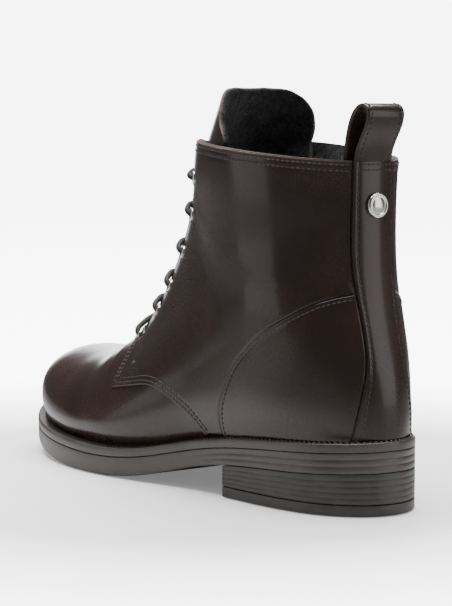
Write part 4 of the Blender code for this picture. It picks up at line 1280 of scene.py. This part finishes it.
def prism(outline_points, low, high):
    """Closed cutter: a side-view outline drawn out along Y."""
    n = len(outline_points)
    points = [(x, y, z) for y in (low, high) for x, z in outline_points]
    faces = [tuple(range(n)), tuple(range(n, 2 * n))[::-1]]
    return np.array(points), faces + band(n, 0, n)


def pins(side):
    """Round cutters through the eyelets of one side."""
    points, faces = [], []
    for number in range(len(EYELET_ROWS)):
        row, phi = eyelets[side, number]
        at, normal = skin(row, phi, side, 0.0)
        aside = unit(np.cross(normal, (0.0, 0.0, 1.0)))
        angle = np.linspace(0, 2 * np.pi, PIN_SIDES, endpoint=False)[:, None]
        ring = PIN * (aside * np.cos(angle) + np.cross(normal, aside) * np.sin(angle))
        points += [at + ring + normal * 2.5, at + ring - normal * 6.0]
        a = 2 * PIN_SIDES * number
        b = a + PIN_SIDES
        faces += [tuple(range(a, b)), tuple(range(b, b + PIN_SIDES))[::-1]] + band(PIN_SIDES, a, b)
    return np.vstack(points), faces


def carve(piece, *cutters):
    """Cut closed shapes out of a piece and drop the cutters."""
    for points, faces in cutters:
        cutter = build("cutter", points, faces, list(piece.data.materials), np.full(len(faces), 2), weld=0)
        knife = piece.modifiers.new("cut", "BOOLEAN")
        knife.operation, knife.solver, knife.object = "DIFFERENCE", "MANIFOLD", cutter
        ready = piece.evaluated_get(bpy.context.evaluated_depsgraph_get())
        mesh = bpy.data.meshes.new_from_object(ready)
        piece.modifiers.remove(knife)
        piece.data = mesh
        bpy.data.objects.remove(cutter)
    piece.data.set_sharp_from_angle(angle=SHARP)


slot = prism(ribbon(ZIP_LINE, ZIP_HALF), -90.0, -1.5)
carve(bpy.data.objects["quarter_lateral_leather"], pins(1))
carve(bpy.data.objects["quarter_medial_leather"], pins(-1), slot)
carve(upper_shell, pins(1), pins(-1), slot)
print("carved shell faces:", len(upper_shell.data.polygons))

# %% Stud and bar tacks
STUD_PROFILE = [(0.0, -0.3), (5.0, -0.3), (5.25, 0.2), (5.3, 0.9), (5.1, 1.5), (4.7, 1.85), (4.2, 1.95),
                (3.9, 1.75), (3.75, 1.45), (3.6, 1.4), (3.2, 1.62), (2.0, 1.9), (1.0, 2.0), (0.0, 2.02)]
STUD_ROW, TACK_AT = 15.4, (146.2, 52.9)
at, normal = skin(STUD_ROW, 0.0, 1, STRIP_TOP)
stud = turned("back_stud_cap", STUD_PROFILE, at, normal, nickel, 56, closed=False)
dress(stud, "nickel", "back_stud")
TACK_PROFILE = [(0.0, -0.3), (1.15, -0.3), (1.2, 0.0), (1.05, 0.3), (0.6, 0.5), (0.0, 0.55)]
for side, word in SIDES:
    place = find(*np.array([TACK_AT]).T, side, (8.0, 1.2))[0]
    at, normal = skin(place[0], place[1], side, PANEL_TOP)
    dress(turned(f"bar_tack_{word}", TACK_PROFILE, at, normal, thread, 20, closed=False), "leather")
print(stud.name, len(stud.data.polygons))

# %% Laces
CORD, CORD_POINTS = 1.35, 70
# Rises of the cord over the last: under the facing, inside an eyelet, over its ring and beside it.
UNDER, WITHIN, OVER, BESIDE = -5.6, -3.5, 1.65, 1.85


def lace_spot(row, phi, side, rise):
    return skin(row, phi, side, rise)[0]


def into_eyelet(row, phi, edge, side, back):
    """Points of the cord from the facing's edge over the ring and down into an eyelet."""
    return [lace_spot(back, edge + (phi - edge) * 0.55, side, BESIDE), lace_spot(row, phi + 0.02, side, OVER),
            lace_spot(row, phi, side, 0.0), lace_spot(row, phi, side, WITHIN)]


def strand(first, last, over):
    """Cord from under one facing, across the gap and into the next eyelet on the other side."""
    (row_a, phi_a), (row_b, phi_b) = eyelets[first], eyelets[last]
    side_a, side_b = first[0], last[0]

    def row(share):
        return row_a + (row_b - row_a) * share
    edge_a, edge_b = float(facing_phi(row(0.15), side_a)), float(facing_phi(row(0.86), side_b))
    middle = (lace_spot(row(0.5), 2.0, 1, over) + lace_spot(row(0.5), 2.0, -1, over)) / 2
    knots = [lace_spot(row_a, phi_a, side_a, UNDER),
             lace_spot(row(0.06), (phi_a + edge_a) / 2, side_a, UNDER),
             lace_spot(row(0.16), edge_a, side_a, UNDER + 1.0), middle,
             lace_spot(row(0.86), edge_b, side_b, 1.0)]
    return drawn(knots + into_eyelet(row_b, phi_b, edge_b, side_b, row(0.96)), CORD_POINTS)


def bar():
    """Bottom of the lace: straight across from eyelet to eyelet."""
    number = len(EYELET_ROWS) - 1
    knots = []
    for side in (1, -1):
        row, phi = eyelets[side, number]
        edge = float(facing_phi(row, side))
        end = [lace_spot(row, edge, side, 1.1)] + into_eyelet(row, phi, edge, side, row)
        knots = end[::-1] if side > 0 else knots + end
    return drawn(knots, CORD_POINTS)


# %% Cords
def tube(path, radius, sides=12):
    """Points, faces and run coordinates of a round cord along a path."""
    way = unit(np.gradient(path, axis=0))
    side_way = unit(np.cross(way, (0.31, 0.52, 0.79)))
    up = np.cross(way, side_way)
    angle = np.linspace(0, 2 * np.pi, sides, endpoint=False)
    ring = side_way[:, None] * np.cos(angle)[None, :, None] + up[:, None] * np.sin(angle)[None, :, None]
    length = run_of(path)
    points = (path[:, None] + ring * radius).reshape(-1, 3)
    uv = np.stack(np.broadcast_arrays(length[:, None], angle[None] / (2 * np.pi)), -1).reshape(-1, 2)
    n = len(path)
    faces = [face for i in range(n - 1) for face in band(sides, i * sides, (i + 1) * sides)]
    faces += [tuple(range(sides)), tuple(range((n - 1) * sides, n * sides))]
    return points, faces, uv


UPPER_CROSS, LOWER_CROSS = -1.5, -3.7
cords = [bar()]
for number in range(len(EYELET_ROWS) - 1, 0, -1):
    for side in (1, -1):
        lift = UPPER_CROSS if (side > 0) == (number % 2 == 0) else LOWER_CROSS
        cords.append(strand((side, number), (-side, number - 1), lift))
points, faces, uv = [], [], []
for path in cords:
    p, f, w = tube(path, CORD)
    start = sum(map(len, points))
    faces += [tuple(k + start for k in face) for face in f]
    points.append(p)
    uv.append(w)
laces = build("lace_cords", np.vstack(points), faces, [lace_cloth], uv=np.vstack(uv), weld=0)
dress(laces, "lace_cord", "laces")
print("lace faces:", len(laces.data.polygons))

# %% [markdown]
# ## Sole
# The welt, outsole, heel and top lift are layers of one outline. A stack of loops, each with an
# inset and a height, draws their edges: a groove between welt and outsole, and the fine lines
# of a stacked heel.

# %% Sole edges
WELT_THICKNESS = 4.0
turn = (np.arange(360) + 0.5) * 2 * np.pi / 360
breast_angle = math.acos(1 - 2 * HEEL_BREAST / SOLE_LENGTH)
heel_turn = np.linspace(-breast_angle, breast_angle, 150)


def layered(name, angles, layers, shade):
    """Closed stack of outline loops: each layer is an inset and a height."""
    n = len(angles)
    points = []
    for gap, height in layers:
        loop = outline(angles, gap(angles) if callable(gap) else np.full(n, gap))
        points.append(np.column_stack([loop, height(loop[:, 0])]))
    faces = []
    for k in range(len(layers) - 1):
        faces += band(n, k * n, (k + 1) * n)
    last = (len(layers) - 1) * n
    for i in range(n // 2 - 1):
        faces.append((i, i + 1, n - 2 - i, n - 1 - i))
        faces.append((last + i, last + i + 1, last + n - 2 - i, last + n - 1 - i))
    return build(name, np.vstack(points), faces, [shade], weld=0.002)


def above(base, rise):
    return lambda x: base(x) + rise


def fore(a):
    """Share of the deep groove: none at the heel, full round the forefoot."""
    return smooth((SOLE_LENGTH / 2 * (1 - np.cos(a)) - 66) / 40)


def between(low, high):
    return lambda a: low + (high - low) * fore(a)


under_welt = above(welt_top, -WELT_THICKNESS)
welt = layered("welt_edge", turn, [
    (8.0, above(under_welt, 0.1)), (between(0.22, 0.7), above(under_welt, 0.08)),
    (between(0.06, 0.14), above(under_welt, 0.2)), (0.02, above(under_welt, 0.5)),
    (0.0, above(welt_top, -2.0)), (0.02, above(welt_top, -0.75)), (0.15, above(welt_top, -0.4)),
    (0.45, above(welt_top, -0.12)),
    (0.9, above(welt_top, 0.0)), (2.4, above(welt_top, -0.05)), (9.0, above(welt_top, -0.1))], sole_rubber)
dress(welt, "sole_rubber", "welt")


def sole_level(share):
    return lambda x: underside(x) + share * (welt_top(x) - WELT_THICKNESS - 0.1 - underside(x))


layers = [(1.6, underside), (0.9, above(underside, 0.1)), (between(0.2, 0.4), above(underside, 0.3))]
layers += [(between(0.06, 0.12), sole_level(0.12))]
for share in (0.36, 0.68):
    layers += [(0.06, sole_level(share - 0.014)), (between(0.18, 0.06), sole_level(share)),
               (0.06, sole_level(share + 0.014))]
layers += [(0.06, sole_level(0.94)), (between(0.08, 0.14), sole_level(0.975)),
           (between(0.22, 0.7), sole_level(0.99)), (8.0, sole_level(1.0))]
outsole = layered("outsole_edge", turn, layers, sole_rubber)
dress(outsole, "sole_rubber", "outsole")
print(welt.name, len(welt.data.polygons), outsole.name, len(outsole.data.polygons))

# %% [markdown]
# The heel is a stack of thin layers on a harder top lift. Fine lines between the layers are
# shallow steps in the loops, because they catch the light along the whole edge.

# %% Heel
LINES = 5


def heel_level(share):
    return lambda x: LIFT_HEIGHT + 0.2 + share * (underside(x) - 0.3 - LIFT_HEIGHT)


layers = [(0.5, heel_level(0.0)), (0.12, heel_level(0.03))]
for line in range(1, LINES):
    s = line / LINES
    layers += [(0.07, heel_level(s - 0.012)), (0.18, heel_level(s)), (0.07, heel_level(s + 0.012))]
layers += [(0.08, heel_level(0.98)), (0.25, heel_level(1.0))]
heel = layered("heel_layers", heel_turn, layers, heel_rubber)
dress(heel, "heel_rubber", "heel_block")


def flat(height):
    return lambda x: 0 * x + height


lift = layered("heel_lift_edge", heel_turn, [
    (0.9, flat(0.0)), (0.4, flat(0.15)), (0.12, flat(0.5)), (0.05, flat(LIFT_HEIGHT - 0.5)),
    (0.2, flat(LIFT_HEIGHT - 0.15)), (0.7, flat(LIFT_HEIGHT))], heel_rubber)
dress(lift, "heel_rubber", "heel_top_lift")
print(heel.name, len(heel.data.polygons), lift.name, len(lift.data.polygons))

# %% [markdown]
# ## Stitches
# Each stitch is a short thread that dips into the leather at both ends. An array along a curve
# could lay them out; here one function places all of them along the remembered rows at once.

# %% Stitches
PITCH, STITCH, THREAD = 2.3, 1.85, 0.3
WELT_PITCH, WELT_STITCH, WELT_THREAD = 2.4, 1.9, 0.5


def stitches(name, runs, pitch, length, radius, shade):
    """Short arched threads along each run, joined in one mesh."""
    rings, sides = 6, 6
    s = np.linspace(-0.5, 0.5, rings)
    angle = np.linspace(0, 2 * np.pi, sides, endpoint=False)
    fat = np.sqrt(np.clip(1.02 - (2 * s) ** 4, 0.1, 1))
    points, faces = [], []
    start = 0
    for spot, normal in runs:
        run = run_of(spot)
        at = np.arange(pitch / 2, run[-1] - pitch / 2, pitch)
        here = sampled(at, run, spot)
        up = unit(sampled(at, run, normal))
        ahead = unit(sampled(at + 0.4, run, spot) - here)
        aside = np.cross(up, ahead)
        rise = radius * (0.55 * np.cos(np.pi * s) - 0.35)
        centre = (here[:, None] + ahead[:, None] * (s * length)[None, :, None]
                  + up[:, None] * rise[None, :, None])
        wide = np.cos(angle)[None, :, None] * radius * fat[:, None, None]
        tall = np.sin(angle)[None, :, None] * 0.8 * radius * fat[:, None, None]
        ring = aside[:, None, None] * wide[None] + up[:, None, None] * tall[None]
        block = (centre[:, :, None] + ring).reshape(-1, 3)
        points.append(block)
        for k in range(len(at)):
            base = start + k * rings * sides
            for i in range(rings - 1):
                faces += band(sides, base + i * sides, base + (i + 1) * sides)
            faces.append(tuple(base + j for j in range(sides)))
            faces.append(tuple(base + (rings - 1) * sides + j for j in range(sides)))
        start += len(block)
    return build(name, np.vstack(points), faces, [shade], weld=0)


seam_stitches = stitches("seam_stitches", stitch_runs, PITCH, STITCH, THREAD, thread)
dress(seam_stitches, "lace_cord")
ledge = outline(turn, feather_inset(turn) - 1.3)
ledge = np.vstack([ledge, ledge[:1]])
ledge = np.column_stack([ledge, welt_top(ledge[:, 0]) + 0.1])
upward = np.tile((0.0, 0.0, 1.0), (len(ledge), 1))
welt_stitches = stitches("welt_stitches", [(ledge, upward)], WELT_PITCH, WELT_STITCH, WELT_THREAD, thread)
dress(welt_stitches, "lace_cord")
print("stitch faces:", len(seam_stitches.data.polygons) + len(welt_stitches.data.polygons))

# %% [markdown]
# ## Zip
# A zip is two tapes whose metal teeth lock one between two. Each tooth is a small block with a
# narrow head; the rows are half a step apart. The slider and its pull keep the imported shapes,
# with their edges rounded as a casting and a cut strap are.

# %% Zip teeth
TOOTH_STEP = 2.1
# Half of a tooth: distance from the middle of the zip, and half-height there.
TOOTH = [(-0.7, 0.34), (0.35, 0.5), (0.75, 0.4), (1.1, 0.5), (2.35, 0.5)]
shape = TOOTH + [(x, -y) for x, y in TOOTH[::-1]]
n = len(shape)
centre_line = drawn(ZIP_LINE[:-1] + [(57.6, 77.6)], 400)
centre_line = centre_line[centre_line[:, 1] < 146.0]
spots, ways = skin(*find(*centre_line.T, -1, (14.0, 0.8)).T, -1, np.zeros(len(centre_line)))
run = run_of(spots)
points, faces = [], []
for k, at in enumerate(np.arange(0.8, run[-1] - 0.6, TOOTH_STEP / 2)):
    here, out = sampled(at, run, spots), sampled(at, run, ways)
    ahead = unit(sampled(at + 0.3, run, spots) - here)
    aside = np.cross(out, ahead) * (1 if k % 2 else -1)
    start = len(points)
    for level, size in ((-1.7, 1.0), (-0.75, 1.0), (-0.5, 0.82)):
        for x, y in shape:
            points.append(here + aside * (x if x > 0 else x * size) + ahead * y * size + out * level)
    faces += [tuple(range(start, start + n)), tuple(range(start + 2 * n, start + 3 * n))[::-1]]
    faces += band(n, start, start + n) + band(n, start + n, start + 2 * n)
teeth = build("zip_teeth_rows", points, faces, [zip_nickel], weld=0)
dress(teeth, "zip_metal", "zip_teeth")
print("teeth faces:", len(teeth.data.polygons))


# %% Slider and pull
def softened(name, node_name, shade, width):
    """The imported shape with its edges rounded."""
    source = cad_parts[node_name]
    work = bmesh.new()
    work.from_mesh(source.data)
    work.transform(source.matrix_world)
    bmesh.ops.remove_doubles(work, verts=work.verts, dist=1e-6)
    bmesh.ops.dissolve_limit(work, angle_limit=0.02, verts=work.verts, edges=work.edges)
    sharp = [edge for edge in work.edges if edge.calc_face_angle(0.0) > 0.4]
    bmesh.ops.bevel(work, geom=sharp, offset=width * MM, segments=3, profile=0.5, affect="EDGES",
                    clamp_overlap=True)
    mesh = bpy.data.meshes.new(name)
    bmesh.ops.recalc_face_normals(work, faces=work.faces)
    work.to_mesh(mesh)
    work.free()
    mesh.materials.append(shade)
    for polygon in mesh.polygons:
        polygon.use_smooth = True
        polygon.material_index = 0
    mesh.set_sharp_from_angle(angle=SHARP)
    return placed(name, mesh)


dress(softened("zip_slider_body", "zip_slider", nickel, 0.35), "nickel", "zip_slider")
dress(softened("zip_pull_tab", "zip_pull", strap_calf, 0.3), "pull_leather", "zip_pull", body="pull")

# %% [markdown]
# ## Fleece
# The lining is a black pile, so its edges are not crisp. Thin seeded fibres along the collar and
# on the tongue break the outline; the bump in the fleece finish does the rest.


# %% Fleece fibres
def fibres(name, spots, ways, length, shade):
    """Thin closed spikes, leaning at random, joined in one mesh."""
    dice = np.random.default_rng(7)
    count = len(spots)
    lean = unit(ways + dice.normal(0.0, 0.55, (count, 3)))
    aside = unit(np.cross(lean, dice.normal(0.0, 1.0, (count, 3))))
    other = np.cross(lean, aside)
    reach = length * dice.uniform(0.5, 1.2, (count, 1))
    foot = spots - lean * 0.25
    corners = [foot + 0.09 * (aside * math.cos(q) + other * math.sin(q)) for q in (0, 2.1, 4.2)]
    points = np.stack(corners + [spots + lean * reach], 1).reshape(-1, 3)
    a = np.arange(count)[:, None] * 4
    faces = np.vstack([a + (0, 1, 3), a + (1, 2, 3), a + (2, 0, 3), a + (0, 2, 1)])
    return build(name, points, faces, [shade], weld=0)


COLLAR_FIBRES, TONGUE_FIBRES = 1500, 3600
VISIBLE_ROW = 58
dice = np.random.default_rng(3)
spots, ways = [], []
for side in (1, -1):
    rows = COLLAR_ROW - 1.3 * dice.uniform(0, 1, COLLAR_FIBRES) ** 2
    phi = dice.uniform(0.02, 1, COLLAR_FIBRES) * facing_phi(rows, side)
    place, way = skin(rows, phi, side, -lining_depth(rows))
    clear = ~((side < 0) & (np.abs(place[:, 0] - 43.0) < 7.5))
    spots.append(place[clear])
    ways.append((0.6 * np.array([0, 0, 1.0]) - way)[clear])
face, back = tongue_sheet(TONGUE_FACE), tongue_sheet(TONGUE_BACK)
i = dice.integers(VISIBLE_ROW, len(tongue_rows), TONGUE_FIBRES)
j = dice.integers(0, len(tongue_share), TONGUE_FIBRES)
spots.append(back[i, j] + dice.normal(0, 0.25, (TONGUE_FIBRES, 3)))
ways.append((back - face)[i, j] / 2.3 + (0, 0, 0.3))
EDGE_FIBRES = 500
last_row, last_column = len(tongue_rows) - 1, len(tongue_share) - 1
for i, j, to in ((last_row, None, (-3, 0)), (None, 0, (0, 2)), (None, last_column, (0, -2))):
    i = dice.integers(VISIBLE_ROW, last_row + 1, EDGE_FIBRES) if i is None else np.full(EDGE_FIBRES, i)
    j = dice.integers(0, last_column + 1, EDGE_FIBRES) if j is None else np.full(EDGE_FIBRES, j)
    outward = unit(back[i, j] - back[i + to[0], j + to[1]])
    deep = (face - back)[i, j] * dice.uniform(0, 0.5, (EDGE_FIBRES, 1))
    spots.append(back[i, j] + deep + dice.normal(0, 0.15, (EDGE_FIBRES, 3)))
    ways.append(outward + (back - face)[i, j] / 4.0)
fuzz = fibres("fleece_fibres", np.vstack(spots), np.vstack(ways), 1.1, fleece)
dress(fuzz, "lining")
print(fuzz.name, len(fuzz.data.polygons))

# %% [markdown]
# ## What stays, and the sizes
# The insole and the zip tape are plain, so their imported shapes stay and only get a finish. The
# box of the dressed boot is printed.

# %% Imported nodes that stay
for name, shade in (("insole", fleece), ("zip_tape", tape_cloth)):
    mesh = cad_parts[name].data
    mesh.materials.clear()
    mesh.materials.append(shade)

# %% Sizes
low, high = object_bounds()
print("visual box", [round(b - a, 4) for a, b in zip(low, high)])
